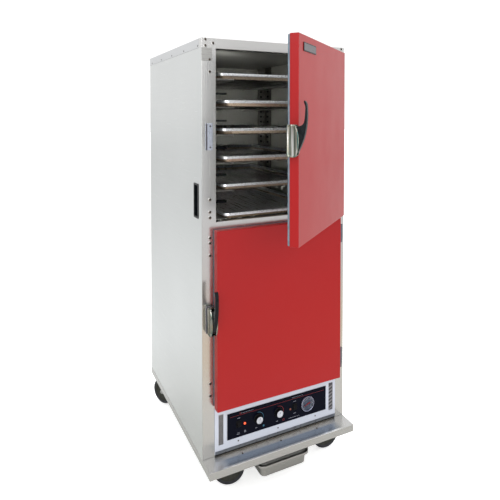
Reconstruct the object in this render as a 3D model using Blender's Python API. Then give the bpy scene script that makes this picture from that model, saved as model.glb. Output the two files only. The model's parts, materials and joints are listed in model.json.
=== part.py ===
"""Mobile heated holding cabinet: two insulated doors, sheet-pan racks, heater bay and casters.

Metres, +Z up, front towards -Y. The origin is the centre of the pressed panel under the base.
"""
import math

import bmesh
import bpy
from mathutils import Matrix, Vector

# Overall sizes
WIDTH = 0.647
DEPTH = 0.758
BODY_HEIGHT = 1.620
BASE_LIFT = 0.004
BASE_HEIGHT = 0.0285
BUMPER_REACH = 0.0767
GAP = 0.0003
SHEET = 0.0015

LEFT = -WIDTH / 2
RIGHT = WIDTH / 2
FRONT = -DEPTH / 2
BACK = DEPTH / 2
TOP = BASE_LIFT + BODY_HEIGHT
BASE_TOP = BASE_LIFT + BASE_HEIGHT

# Front frame
FRAME_DEPTH = 0.030
STILE = 0.057
UPPER_OPENING = (BASE_LIFT + 0.928, BASE_LIFT + 1.5812)
LOWER_OPENING = (BASE_LIFT + 0.243, BASE_LIFT + 0.887)
CONTROL_OPENING = (BASE_LIFT + 0.038, BASE_LIFT + 0.214)

# Casing
CAP_FLANGE = 0.035
PANEL_INSET = 0.0008
LINER_HALF = 0.2835
LINER_BACK = BACK - 0.025
LINER_FLOOR = BASE_LIFT + 0.243
LINER_CEILING = BASE_LIFT + 1.588
LINER_UNDERSIDE = BASE_LIFT + 0.226
GRIP_Y = FRONT + 0.064
GRIP_Z = BASE_LIFT + 1.004
GRIP_SIZE = (0.050, 0.132)
GRIP_DEPTH = 0.018

# Racks and pans
PAN_LEVELS = 6
LEDGE_LEVELS = 12
TOP_PAN_FLOOR = BASE_LIFT + 1.473
PAN_PITCH = 0.1089
PAN_SIZE = (0.457, 0.660)
PAN_HEIGHT = 0.025
PAN_SETBACKS = (0.0685, 0.0116, 0.0439, 0.0312, 0.0377, 0.0131)
LEDGE_REACH = 0.110
UPRIGHT_FRONTS = (FRONT + 0.100, FRONT + 0.625)
UPRIGHT_SIZE = (0.012, 0.030)

# Doors
DOOR_LEFT = LEFT + 0.0455
DOOR_RIGHT = LEFT + 0.6055
DOOR_THICKNESS = 0.031
DOOR_HEIGHT = 0.681
DOOR_BACK = FRONT - 0.0085
DOOR_FACE = DOOR_BACK - DOOR_THICKNESS
UPPER_DOOR_BOTTOM = BASE_LIFT + 0.9105
LOWER_DOOR_BOTTOM = BASE_LIFT + 0.220
UPPER_DOOR_OPEN = 38.4
GASKET_WIDTH = 0.020
GASKET_INSET = 0.0015
HINGE_X = LEFT + 0.617
HINGE_Y = FRONT - 0.022
HINGE_OFFSET = 0.268
HINGE_HALF = 0.035
KNUCKLE_RADIUS = 0.0065
PIN_RADIUS = 0.003

# Edge latch
LATCH_WIDTH = 0.028
LATCH_HALF = 0.0513
LATCH_BULGE = 0.0100
LEVER_WIDTH = 0.0135
LEVER_PIVOT_Z = -0.031
LEVER_PIVOT_Y = 0.004
STRIKE = (LEFT + 0.0146, LEFT + 0.0440)

# Casters
CASTER_HEIGHT = 0.157
WHEEL_RADIUS = 0.0635
WHEEL_HALF = 0.016
CASTER_TRAIL = 0.055
CASTER_INSET_X = 0.088
CASTER_INSET_FRONT = 0.092
CASTER_INSET_BACK = 0.075
AXLE_Z = BASE_LIFT - CASTER_HEIGHT + WHEEL_RADIUS
CASTER_TURNS = {
    "front_left": -15.0,
    "front_right": -3.0,
    "rear_left": 120.0,
    "rear_right": 100.0,
}

# Controls
FASCIA = (LEFT + 0.049, LEFT + 0.605, BASE_LIFT + 0.036, BASE_LIFT + 0.2165)
PANEL = (LEFT + 0.100, LEFT + 0.555, BASE_LIFT + 0.079, BASE_LIFT + 0.180)
FASCIA_FACE = FRONT - 0.0035
PANEL_FACE = FASCIA_FACE - 0.0023
KNOB_Z = BASE_LIFT + 0.130
HEAT_KNOB_X = LEFT + 0.232
PROOF_KNOB_X = LEFT + 0.324
SWITCH_Z = BASE_LIFT + 0.1315
HEAT_SWITCH_X = LEFT + 0.148
PROOF_SWITCH_X = LEFT + 0.401
DIAL_X = LEFT + 0.4615
DIAL_RADIUS = 0.031
NEEDLE_TURN = 110

VENTS = ((LEFT + 0.0645, LEFT + 0.0845), (LEFT + 0.5715, LEFT + 0.5925))
VENT_Z = (BASE_LIFT + 0.0680, BASE_LIFT + 0.1865)
SHAFT_HOLE = 0.0040

# Drip tray
TRAY_HALF = 0.105
TRAY_FRONT = FRONT - 0.070
TRAY_BACK = FRONT + 0.150
TRAY_TOP = BASE_LIFT - 0.0250
TRAY_FLANGE = 0.008
TRAY_SHEET = 0.0014
TRAY_DROP = 0.051


def material(name, colour, roughness, metallic):
    """A plain Principled material."""
    made = bpy.data.materials.new(name)
    made.use_nodes = True
    shader = made.node_tree.nodes["Principled BSDF"]
    shader.inputs["Base Color"].default_value = (*colour, 1.0)
    shader.inputs["Roughness"].default_value = roughness
    shader.inputs["Metallic"].default_value = metallic
    return made


def clear_scene():
    """Remove whatever the file already holds."""
    for old in list(bpy.data.objects):
        bpy.data.objects.remove(old, do_unlink=True)


def add_object(name, mesh, finish, location=(0, 0, 0), turn=0.0, parent=None):
    """Link a mesh as a named object, turned about +Z and placed under its parent."""
    made = bpy.data.objects.new(name, mesh)
    bpy.context.scene.collection.objects.link(made)
    if finish:
        mesh.materials.clear()
        mesh.materials.append(finish)
    made.location = location
    made.rotation_euler = (0, 0, math.radians(turn))
    made.parent = parent
    return made


def empty(name, location, turn=0.0, parent=None):
    """A parent that marks a joint's axis."""
    return add_object(name, None, None, location, turn, parent)


def mesh_from(name, build):
    """Make a mesh from a function that fills a bmesh."""
    shape = bmesh.new()
    build(shape)
    bmesh.ops.recalc_face_normals(shape, faces=shape.faces)
    made = bpy.data.meshes.new(name)
    shape.to_mesh(made)
    shape.free()
    return made


def add_block(shape, x, y, z):
    """Add a closed box between pairs of limits to a bmesh."""
    centre = Vector(((x[0] + x[1]) / 2, (y[0] + y[1]) / 2, (z[0] + z[1]) / 2))
    size = Vector((x[1] - x[0], y[1] - y[0], z[1] - z[0]))
    place = Matrix.Translation(centre) @ Matrix.Diagonal((*size, 1.0))
    bmesh.ops.create_cube(shape, size=1.0, matrix=place)


def block_mesh(name, *blocks):
    """A mesh of one or more separate boxes, each given as three pairs of limits."""
    def build(shape):
        for limits in blocks:
            add_block(shape, *limits)
    return mesh_from(name, build)


def prism_mesh(name, outline, axis, low, high):
    """Extrude a flat outline along X, Y or Z; outline pairs are the other two axes in order."""
    places = {"x": lambda a, b, t: (t, a, b), "y": lambda a, b, t: (a, t, b), "z": lambda a, b, t: (a, b, t)}
    place = places[axis]

    def build(shape):
        ends = [[shape.verts.new(place(a, b, t)) for a, b in outline] for t in (low, high)]
        shape.faces.new(ends[0])
        shape.faces.new(ends[1])
        count = len(outline)
        for i in range(count):
            j = (i + 1) % count
            shape.faces.new((ends[0][i], ends[0][j], ends[1][j], ends[1][i]))
    return mesh_from(name, build)


def turned_mesh(name, profile, steps, axis="z"):
    """Turn a closed (radius, height) profile; a radius of zero closes on the axis."""
    def build(shape):
        rings = []
        for radius, height in profile:
            if radius == 0:
                rings.append([shape.verts.new((0, 0, height))])
                continue
            angles = [2 * math.pi * k / steps for k in range(steps)]
            circle = [(radius * math.cos(a), radius * math.sin(a), height) for a in angles]
            rings.append([shape.verts.new(point) for point in circle])
        pairs = list(zip(rings, rings[1:]))
        if profile[0][0] != 0:
            pairs.append((rings[-1], rings[0]))
        for low, high in pairs:
            for k in range(steps):
                n = (k + 1) % steps
                corners = [low[k % len(low)], low[n % len(low)], high[n % len(high)], high[k % len(high)]]
                unique = list(dict.fromkeys(corners))
                if len(unique) > 2:
                    shape.faces.new(unique)
        if axis == "y":
            bmesh.ops.rotate(shape, verts=shape.verts, matrix=Matrix.Rotation(math.radians(90), 3, "X"))
        if axis == "x":
            bmesh.ops.rotate(shape, verts=shape.verts, matrix=Matrix.Rotation(math.radians(90), 3, "Y"))
    made = mesh_from(name, build)
    smooth(made)
    return made


def smooth(mesh, angle=35):
    """Shade round faces smooth and keep real edges sharp."""
    mesh.shade_smooth()
    mesh.set_sharp_from_angle(angle=math.radians(angle))


def soften(made, width, segments=2):
    """Round an object's edges a little."""
    bevel = made.modifiers.new("Bevel", "BEVEL")
    bevel.width = width
    bevel.segments = segments
    bevel.limit_method = "ANGLE"
    bevel.angle_limit = math.radians(40)
    return made


def boolean(made, tool, operation):
    """Apply an exact Boolean with a hidden helper object."""
    tool.hide_render = True
    tool.display_type = "WIRE"
    step = made.modifiers.new(operation.title(), "BOOLEAN")
    step.operation = operation
    step.solver = "EXACT"
    step.object = tool


def cut(made, mesh, location=(0, 0, 0), parent=None):
    """Cut a helper mesh out of an object."""
    boolean(made, add_object(made.name + "_cutter", mesh, None, location, 0.0, parent), "DIFFERENCE")


def join(made, mesh, location=(0, 0, 0), parent=None):
    """Weld a helper mesh onto an object."""
    boolean(made, add_object(made.name + "_weld", mesh, None, location, 0.0, parent), "UNION")


def arc(centre, radius, start, end, steps):
    """Points along an arc, angles in degrees."""
    points = []
    for k in range(steps + 1):
        angle = math.radians(start + (end - start) * k / steps)
        points.append((centre[0] + radius * math.cos(angle), centre[1] + radius * math.sin(angle)))
    return points


def rounded_rectangle(half_x, half_y, radius, steps=3):
    """Corner-rounded rectangle about the origin, anticlockwise."""
    points = []
    for sign_x, sign_y, start in ((1, 1, 0), (-1, 1, 90), (-1, -1, 180), (1, -1, 270)):
        centre = (sign_x * (half_x - radius), sign_y * (half_y - radius))
        points += arc(centre, radius, start, start + 90, steps)
    return points


def dished_mesh(name, size, rings, radius, steps=3):
    """A sheet dish from (inset, height) rings: outside downwards, then inside upwards."""
    def build(shape):
        loops = []
        for inset, height in rings:
            half_x = size[0] / 2 - inset
            half_y = size[1] / 2 - inset
            outline = rounded_rectangle(half_x, half_y, max(radius - inset / 2, 0.004), steps)
            loops.append([shape.verts.new((x, y, height)) for x, y in outline])
        floor = min(height for inset, height in rings)
        under = max(i for i, ring in enumerate(rings) if ring[1] == floor)
        count = len(loops[0])
        for i, loop in enumerate(loops):
            following = loops[(i + 1) % len(loops)]
            if i == under:
                shape.faces.new(loop)
                shape.faces.new(following)
                continue
            for k in range(count):
                n = (k + 1) % count
                shape.faces.new((loop[k], loop[n], following[n], following[k]))
    return mesh_from(name, build)


def make_materials():
    """The finishes, one per kind of surface."""
    return {
        "steel": material("brushed stainless", (0.60, 0.61, 0.61), 0.34, 1.0),
        "aluminium": material("side aluminium", (0.66, 0.67, 0.67), 0.38, 1.0),
        "liner": material("liner aluminium", (0.42, 0.42, 0.40), 0.42, 1.0),
        "galvanised": material("galvanised sheet", (0.46, 0.48, 0.50), 0.45, 1.0),
        "red": material("red door enamel", (0.45, 0.012, 0.018), 0.22, 0.0),
        "gasket": material("door gasket", (0.20, 0.28, 0.35), 0.55, 0.0),
        "chrome": material("latch chrome", (0.75, 0.75, 0.74), 0.10, 1.0),
        "black": material("black plastic", (0.012, 0.012, 0.014), 0.35, 0.0),
        "fascia": material("fascia enamel", (0.66, 0.68, 0.80), 0.30, 0.0),
        "panel": material("control panel", (0.006, 0.007, 0.014), 0.15, 0.0),
        "dial": material("dial face", (0.62, 0.64, 0.68), 0.30, 0.2),
        "needle": material("dial needle", (0.60, 0.03, 0.02), 0.40, 0.0),
        "pan": material("sheet pan aluminium", (0.62, 0.63, 0.66), 0.30, 1.0),
        "tyre": material("caster tyre", (0.010, 0.010, 0.011), 0.60, 0.0),
        "zinc": material("caster zinc", (0.50, 0.50, 0.50), 0.35, 1.0),
        "heater": material("heater sheath", (0.12, 0.10, 0.09), 0.50, 1.0),
    }


def base_frame(finish):
    """Base pan with the front bumper, the pressed centre panel and the drip-tray rails."""
    outer = ((LEFT, RIGHT), (FRONT - BUMPER_REACH, BACK), (BASE_LIFT, BASE_TOP))
    made = add_object("base_frame", block_mesh("base_frame", outer), finish["steel"])
    well = ((LEFT + 0.002, RIGHT - 0.002), (FRONT + 0.040, BACK - 0.002), (BASE_LIFT + 0.002, BASE_TOP + 0.01))
    cut(made, block_mesh("base_well", well))
    press_half = 0.13
    pressed = ((-press_half, press_half), (-press_half, press_half), (0.0, BASE_LIFT + 0.001))
    join(made, block_mesh("base_pressed_panel", pressed))
    lip = TRAY_TOP - GAP
    length = (FRONT - 0.050, TRAY_BACK)
    for side in (-1, 1):
        outer_x = side * (TRAY_HALF + 0.010)
        inner_x = outer_x - side * SHEET
        shelf_x = outer_x - side * TRAY_FLANGE
        web = (sorted((outer_x, inner_x)), length, (lip - SHEET, BASE_LIFT + 0.001))
        shelf = (sorted((inner_x + side * SHEET / 2, shelf_x)), length, (lip - SHEET, lip))
        join(made, block_mesh("tray_rail_web", web))
        join(made, block_mesh("tray_rail_shelf", shelf))
    return made


def front_frame(finish):
    """Welded stiles and rails with two door openings and the control opening."""
    outer = ((LEFT, RIGHT), (FRONT, FRONT + FRAME_DEPTH), (BASE_TOP + GAP, TOP))
    made = add_object("front_frame", block_mesh("front_frame", outer), finish["steel"])
    through = (FRONT - 0.01, FRONT + FRAME_DEPTH + 0.01)
    half = WIDTH / 2 - STILE
    openings = [((-half, half), through, UPPER_OPENING), ((-half, half), through, LOWER_OPENING)]
    openings.append(((FASCIA[0] + 0.006, FASCIA[1] - 0.006), through, CONTROL_OPENING))
    for opening in openings:
        cut(made, block_mesh("frame_opening", opening))
    return made


def side_panel(side, finish):
    """Outer side sheet with the slot for its recessed grip."""
    name = ("left" if side < 0 else "right") + "_side_panel"
    outer = side * (WIDTH / 2 - PANEL_INSET)
    x = sorted((outer, outer - side * SHEET))
    limits = (x, (FRONT + FRAME_DEPTH + GAP, BACK - SHEET - GAP), (BASE_TOP + GAP, TOP - CAP_FLANGE - GAP))
    made = add_object(name, block_mesh(name, limits), finish["aluminium"])
    half_y = GRIP_SIZE[0] / 2 - 0.003
    half_z = GRIP_SIZE[1] / 2 - 0.003
    hole = ((x[0] - 0.01, x[1] + 0.01), (GRIP_Y - half_y, GRIP_Y + half_y), (GRIP_Z - half_z, GRIP_Z + half_z))
    cut(made, block_mesh("grip_slot", hole))
    return made


def back_panel(finish):
    """Outer rear sheet."""
    x = (LEFT + PANEL_INSET, RIGHT - PANEL_INSET)
    limits = (x, (BACK - SHEET, BACK), (BASE_TOP + GAP, TOP - CAP_FLANGE - GAP))
    return add_object("back_panel", block_mesh("back_panel", limits), finish["aluminium"])


def top_panel(finish):
    """Folded top cap whose flange laps the sides and the back."""
    y = (FRONT + FRAME_DEPTH + GAP, BACK + 0.0005)
    limits = ((LEFT, RIGHT), y, (TOP - CAP_FLANGE, TOP))
    made = add_object("top_panel", block_mesh("top_panel", limits), finish["aluminium"])
    inside = ((LEFT + SHEET, RIGHT - SHEET), (y[0] - 0.01, y[1] - SHEET), (TOP - CAP_FLANGE - 0.01, TOP - SHEET))
    cut(made, block_mesh("cap_inside", inside))
    return made


def insulated_liner(finish):
    """Foam-backed inner walls, ceiling and floor as one insulated shell, open at the front."""
    half = WIDTH / 2 - PANEL_INSET - SHEET - GAP
    y = (FRONT + FRAME_DEPTH + 2 * GAP, BACK - SHEET - 2 * GAP)
    outer = ((-half, half), y, (LINER_UNDERSIDE, TOP - SHEET - GAP))
    made = add_object("insulated_liner", block_mesh("insulated_liner", outer), finish["liner"])
    room = ((-LINER_HALF, LINER_HALF), (y[0] - 0.01, LINER_BACK), (LINER_FLOOR, LINER_CEILING))
    cut(made, block_mesh("liner_room", room))
    half_y = GRIP_SIZE[0] / 2 - 0.001
    half_z = GRIP_SIZE[1] / 2 - 0.001
    for side in (-1, 1):
        x = sorted((side * (WIDTH / 2 + 0.01), side * (WIDTH / 2 - GRIP_DEPTH - 0.002)))
        pocket = (x, (GRIP_Y - half_y, GRIP_Y + half_y), (GRIP_Z - half_z, GRIP_Z + half_z))
        cut(made, block_mesh("grip_pocket", pocket))
    return made


def hand_grip(side, finish):
    """Recessed black grip: a cup in the wall with a thin flange on the sheet."""
    name = ("left" if side < 0 else "right") + "_hand_grip"
    wall = 0.0016
    face = side * (WIDTH / 2 + 0.0010)
    flange_back = side * (WIDTH / 2 - PANEL_INSET + GAP)
    half_y = GRIP_SIZE[0] / 2
    half_z = GRIP_SIZE[1] / 2
    flange = prism_mesh(name, rounded_rectangle(half_y + 0.001, half_z + 0.001, 0.006), "x",
                        *sorted((face, flange_back)))
    made = add_object(name, flange, finish["black"], (0, GRIP_Y, GRIP_Z))
    shrink = 0.0045
    depth = side * (WIDTH / 2 - GRIP_DEPTH)
    cup = prism_mesh("grip_cup", rounded_rectangle(half_y - shrink, half_z - shrink, 0.005), "x",
                     *sorted((side * (WIDTH / 2 + 0.0003), depth)))
    join(made, cup, (0, GRIP_Y, GRIP_Z))
    inner = rounded_rectangle(half_y - shrink - wall, half_z - shrink - wall, 0.004)
    hollow = prism_mesh("grip_hollow", inner, "x", *sorted((side * (WIDTH / 2 + 0.01), depth + side * wall)))
    cut(made, hollow, (0, GRIP_Y, GRIP_Z))
    return made


def slide_rack(side, finish):
    """Two uprights with a full-height run of angle ledges."""
    name = ("left" if side < 0 else "right") + "_slide_rack"
    wall = side * (LINER_HALF - GAP)
    face = wall - side * UPRIGHT_SIZE[0]
    z = (LINER_FLOOR + GAP, LINER_CEILING - GAP)
    uprights = [(sorted((wall, face)), (y, y + UPRIGHT_SIZE[1]), z) for y in UPRIGHT_FRONTS]
    made = add_object(name, block_mesh(name, *uprights), finish["liner"])
    ledges = []
    ledge_length = (FRONT + 0.045, LINER_BACK - 0.015)
    for level in range(LEDGE_LEVELS):
        top = TOP_PAN_FLOOR - level * PAN_PITCH - GAP
        reach = sorted((face + side * 0.002, wall - side * LEDGE_REACH))
        ledges.append((reach, ledge_length, (top - SHEET, top)))
    join(made, block_mesh("rack_ledges", *ledges))
    return made


def sheet_pans(finish):
    """Six identical rimmed pans, set back by differing amounts."""
    lip = 0.007
    rings = [(0.0, PAN_HEIGHT), (0.0, PAN_HEIGHT - lip), (0.0014, PAN_HEIGHT - lip), (0.0014, PAN_HEIGHT - 0.0014),
             (0.0070, PAN_HEIGHT - 0.0014), (0.0170, 0.0), (0.0182, 0.0014), (0.0086, PAN_HEIGHT)]
    mesh = dished_mesh("sheet_pan", PAN_SIZE, rings, 0.020)
    for level, setback in enumerate(PAN_SETBACKS):
        place = (0, FRONT + setback + PAN_SIZE[1] / 2, TOP_PAN_FLOOR - level * PAN_PITCH)
        add_object(f"sheet_pan_{level + 1}", mesh, finish["pan"], place)


def door_centre(bottom):
    """Height of a door's middle, where its latch sits."""
    return bottom + DOOR_HEIGHT / 2


def door_panel(prefix, bottom, pivot, finish):
    """Insulated door skin, placed under the empty on its hinge axis."""
    x = (DOOR_LEFT - HINGE_X, DOOR_RIGHT - HINGE_X)
    y = (DOOR_FACE - HINGE_Y, DOOR_BACK - HINGE_Y)
    mesh = block_mesh(prefix + "_door", (x, y, (0, DOOR_HEIGHT)))
    made = add_object(prefix + "_door", mesh, finish["red"], (0, 0, 0), 0.0, pivot)
    soften(made, 0.0018)
    y = (DOOR_BACK - HINGE_Y + GAP, FRONT - HINGE_Y - 0.0005)
    outer = (x[0] + GASKET_INSET, x[1] - GASKET_INSET)
    rim = (GASKET_INSET, DOOR_HEIGHT - GASKET_INSET)
    seal = add_object(prefix + "_door_gasket", block_mesh(prefix + "_gasket", (outer, y, rim)),
                      finish["gasket"], (0, 0, 0), 0.0, pivot)
    inner_x = (outer[0] + GASKET_WIDTH, outer[1] - GASKET_WIDTH)
    inner_z = (rim[0] + GASKET_WIDTH, rim[1] - GASKET_WIDTH)
    cut(seal, block_mesh("gasket_window", (inner_x, (y[0] - 0.01, y[1] + 0.01), inner_z)), parent=pivot)


def latch_body(prefix, pivot, finish):
    """Chromed D-shaped latch case on the door's free edge, slotted for its lever."""
    back = 0.0314
    shoulder = 0.0030
    chamfer = 0.003
    bow_radius = (LATCH_HALF ** 2 + (shoulder + LATCH_BULGE) ** 2) / (2 * (shoulder + LATCH_BULGE))
    bow_angle = math.degrees(math.asin(LATCH_HALF / bow_radius))
    bow = arc((bow_radius - LATCH_BULGE, 0), bow_radius, 180 - bow_angle, 180 + bow_angle, 12)
    outline = [(back, LATCH_HALF - chamfer), (back - chamfer, LATCH_HALF)] + bow
    outline += [(back - chamfer, -LATCH_HALF), (back, chamfer - LATCH_HALF)]
    edge = DOOR_LEFT - HINGE_X - GAP
    place = (0, DOOR_FACE - HINGE_Y, DOOR_HEIGHT / 2)
    case = prism_mesh(prefix + "_latch_body", outline, "x", edge - LATCH_WIDTH, edge)
    made = add_object(prefix + "_latch_body", case, finish["chrome"], place, 0.0, pivot)
    middle = edge - LATCH_WIDTH / 2
    half = LEVER_WIDTH / 2 + 0.0008
    slot_back = 0.017
    slot_low = -0.0445
    slot = ((middle - half, middle + half), (-0.03, slot_back), (slot_low, LATCH_HALF + 0.01))
    cut(made, block_mesh("latch_slot", slot), place, pivot)
    pin_radius = 0.0025
    pin_half = LATCH_WIDTH / 2 - 0.003
    pin = turned_mesh("latch_pin", [(0, -pin_half), (pin_radius, -pin_half), (pin_radius, pin_half), (0, pin_half)],
                      16, "x")
    join(made, pin, (middle, place[1] + LEVER_PIVOT_Y, place[2] + LEVER_PIVOT_Z), pivot)
    return made


def lever_outline():
    """Side outline of the latch lever about its pivot: (outwards is negative, up)."""
    grip = [(-0.0245, 0.1265), (-0.0290, 0.1225), (-0.0325, 0.1140), (-0.0342, 0.0980)]
    sweep = [(-0.0343, 0.0740), (-0.0318, 0.0480), (-0.0268, 0.0200), (-0.0195, -0.0030), (-0.0110, -0.0230)]
    root = [(-0.0030, -0.0360), (0.0040, -0.0390), (0.0110, -0.0350), (0.0125, -0.0260), (0.0100, 0.0000)]
    shoulder = [(0.0080, 0.0390), (0.0060, 0.0450), (-0.0075, 0.0465), (-0.0175, 0.0500), (-0.0238, 0.0590)]
    inner = [(-0.0266, 0.0760), (-0.0280, 0.0960), (-0.0275, 0.1090), (-0.0235, 0.1200)]
    points = grip + sweep + root + shoulder + inner
    return [(y - LEVER_PIVOT_Y, z - LEVER_PIVOT_Z) for y, z in points]


def latch_lever(prefix, pivot, finish):
    """Black pull lever, its origin on the pivot pin."""
    middle = DOOR_LEFT - HINGE_X - GAP - LATCH_WIDTH / 2
    place = (middle, DOOR_FACE - HINGE_Y + LEVER_PIVOT_Y, DOOR_HEIGHT / 2 + LEVER_PIVOT_Z)
    mesh = prism_mesh(prefix + "_latch_lever", lever_outline(), "x", -LEVER_WIDTH / 2, LEVER_WIDTH / 2)
    made = add_object(prefix + "_latch_lever", mesh, finish["black"], place, 0.0, pivot)
    bore = turned_mesh("lever_bore", [(0, -0.02), (0.0029, -0.02), (0.0029, 0.02), (0, 0.02)], 16, "x")
    cut(made, bore, place, pivot)
    return made


def strike_plate(prefix, bottom, finish):
    """Flat keeper on the left stile, behind the latch case."""
    z = door_centre(bottom)
    limits = (STRIKE, (FRONT - SHEET - GAP, FRONT - GAP), (z - 0.0505, z + 0.0505))
    name = prefix + "_strike"
    return add_object(name, block_mesh(name, limits), finish["steel"])


def frame_leaf(name, z, finish):
    """Hinge leaf on the stile with the lower knuckle and the pin."""
    plate = ((HINGE_X - 0.004, HINGE_X + 0.024), (FRONT - 0.0028, FRONT - GAP), (z - HINGE_HALF, z + HINGE_HALF))
    made = add_object(name, block_mesh(name, plate), finish["steel"])
    knuckle = [(0, -HINGE_HALF), (KNUCKLE_RADIUS, -HINGE_HALF), (KNUCKLE_RADIUS, -GAP), (PIN_RADIUS, -GAP),
               (PIN_RADIUS, HINGE_HALF - 0.002), (0, HINGE_HALF - 0.002)]
    web = ((HINGE_X - 0.0035, HINGE_X + 0.0035), (HINGE_Y, FRONT - 0.0015), (z - HINGE_HALF, z - GAP))
    join(made, block_mesh("hinge_web", web))
    join(made, turned_mesh("hinge_knuckle", knuckle, 16), (HINGE_X, HINGE_Y, z))
    return made


def door_leaf(name, height, pivot, finish):
    """Hinge leaf on the door's edge with the upper knuckle that drops over the pin."""
    edge = DOOR_RIGHT - HINGE_X
    plate = ((edge + GAP, edge + 0.0030), (-0.0125, 0.0105), (-HINGE_HALF, HINGE_HALF))
    place = (0, 0, height)
    made = add_object(name, block_mesh(name, plate), finish["steel"], place, 0.0, pivot)
    web = ((edge + 0.0015, -0.004), (-0.0035, 0.0035), (GAP, HINGE_HALF))
    join(made, block_mesh("hinge_web", web), place, pivot)
    inner = PIN_RADIUS + GAP
    knuckle = [(inner, GAP), (KNUCKLE_RADIUS, GAP), (KNUCKLE_RADIUS, HINGE_HALF), (inner, HINGE_HALF)]
    join(made, turned_mesh("hinge_knuckle", knuckle, 16), place, pivot)
    return made


def door(prefix, bottom, turn, finish):
    """One door with its seal, latch, lever, hinges and strike."""
    pivot = empty(prefix + "_door_axis", (HINGE_X, HINGE_Y, bottom), turn)
    door_panel(prefix, bottom, pivot, finish)
    latch_body(prefix, pivot, finish)
    latch_lever(prefix, pivot, finish)
    strike_plate(prefix, bottom, finish)
    for label, offset in (("top", HINGE_OFFSET), ("bottom", -HINGE_OFFSET)):
        height = DOOR_HEIGHT / 2 + offset
        frame_leaf(f"{prefix}_{label}_hinge_frame_leaf", bottom + height, finish)
        door_leaf(f"{prefix}_{label}_hinge_door_leaf", height, pivot, finish)


def caster_plate(name, place, finish):
    """Mounting plate with the fixed race and king pin."""
    half = (0.0475, 0.0425)
    top = BASE_LIFT - GAP
    plate = prism_mesh(name, rounded_rectangle(half[0], half[1], 0.006, 2), "z", top - 0.0035, top)
    made = add_object(name, plate, finish["zinc"], place)
    race = [(0, top - 0.016), (0.006, top - 0.016), (0.006, top - 0.0105), (0.022, top - 0.0105),
            (0.026, top - 0.006), (0.026, top - 0.002), (0, top - 0.002)]
    join(made, turned_mesh("caster_race", race, 20), place)
    return made


def caster_fork(name, place, turn, finish):
    """Swivelling yoke with its axle, trailing along its own +X."""
    crown_top = BASE_LIFT - GAP - 0.0108
    crown_low = BASE_LIFT - 0.0240
    leg_outer = 0.0212
    leg_inner = 0.0187
    crown = ((-0.020, 0.030), (-leg_outer, leg_outer), (crown_low, crown_low + 0.0025))
    made = add_object(name, block_mesh(name, crown), finish["zinc"], place, turn)
    helpers = empty(name + "_axis", place, turn)
    ring = [(0.0065, crown_top), (0.0065, crown_low + 0.001), (0.023, crown_low + 0.001), (0.025, crown_top)]
    join(made, turned_mesh("caster_ring", ring, 20), parent=helpers)
    foot = arc((CASTER_TRAIL, AXLE_Z), 0.012, -150, -20, 5)
    outline = [(-0.020, crown_low + 0.0025), (-0.014, crown_low - 0.016)] + foot + [(0.030, crown_low + 0.0025)]
    for side in (-1, 1):
        y = sorted((side * leg_inner, side * leg_outer))
        join(made, prism_mesh("caster_leg", outline, "y", *y), parent=helpers)
    axle = [(0, -0.0245), (0.0065, -0.0245), (0.0065, -0.0205), (0.004, -0.0205),
            (0.004, 0.0205), (0.0065, 0.0205), (0.0065, 0.0245), (0, 0.0245)]
    join(made, turned_mesh("caster_axle", axle, 12, "y"), (CASTER_TRAIL, 0, AXLE_Z), helpers)
    return made


def wheel_mesh():
    """Tyred wheel turned about Y, dished between tyre and hub."""
    half = WHEEL_HALF
    side = [(0.0045, 0.0178), (0.0110, 0.0178), (0.0125, 0.0085), (0.0440, 0.0085), (0.0480, half - 0.002),
            (WHEEL_RADIUS - 0.005, half), (WHEEL_RADIUS, half - 0.005)]
    profile = [(r, -h) for r, h in side] + [(r, h) for r, h in reversed(side)]
    return turned_mesh("caster_wheel", profile, 24, "y")


def casters(finish):
    """Four plate casters, each turned as it came to rest."""
    wheel = wheel_mesh()
    for corner, turn in CASTER_TURNS.items():
        x = (RIGHT - CASTER_INSET_X) if "right" in corner else (LEFT + CASTER_INSET_X)
        y = (FRONT + CASTER_INSET_FRONT) if "front" in corner else (BACK - CASTER_INSET_BACK)
        caster_plate(corner + "_caster_plate", (x, y, 0), finish)
        caster_fork(corner + "_caster_fork", (x, y, 0), turn, finish)
        angle = math.radians(turn)
        axle = (x + CASTER_TRAIL * math.cos(angle), y + CASTER_TRAIL * math.sin(angle), AXLE_Z)
        add_object(corner + "_caster_wheel", wheel, finish["tyre"], axle, turn)


def switch_hole(x, depth):
    """Cutter for one rocker switch."""
    return block_mesh("switch_hole", ((x - 0.0080, x + 0.0080), depth, (SWITCH_Z - 0.0110, SWITCH_Z + 0.0110)))


def control_fascia(finish):
    """Enamelled fascia with a window behind the control panel and two louvre slots."""
    x = FASCIA[:2]
    z = FASCIA[2:]
    limits = (x, (FASCIA_FACE, FRONT - GAP), z)
    made = add_object("control_fascia", block_mesh("control_fascia", limits), finish["fascia"])
    through = (FASCIA_FACE - 0.01, FRONT + 0.01)
    inset = 0.004
    window = ((PANEL[0] + inset, PANEL[1] - inset), through, (PANEL[2] + inset, PANEL[3] - inset))
    cut(made, block_mesh("fascia_window", window))
    for slot_x in VENTS:
        cut(made, block_mesh("fascia_vent", (slot_x, through, VENT_Z)))
    return made


def control_panel(finish):
    """Black control panel with holes for the knob shafts, switches and dial stem."""
    limits = (PANEL[:2], (PANEL_FACE, FASCIA_FACE - GAP), PANEL[2:])
    made = add_object("control_panel", block_mesh("control_panel", limits), finish["panel"])
    through = (PANEL_FACE - 0.01, FASCIA_FACE + 0.01)
    for x in (HEAT_SWITCH_X, PROOF_SWITCH_X):
        cut(made, switch_hole(x, through))
    for x in (HEAT_KNOB_X, PROOF_KNOB_X, DIAL_X):
        profile = [(0, -0.02), (SHAFT_HOLE, -0.02), (SHAFT_HOLE, 0.02), (0, 0.02)]
        bore = turned_mesh("shaft_hole", profile, 16, "y")
        cut(made, bore, (x, PANEL_FACE, KNOB_Z))
    return made


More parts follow.
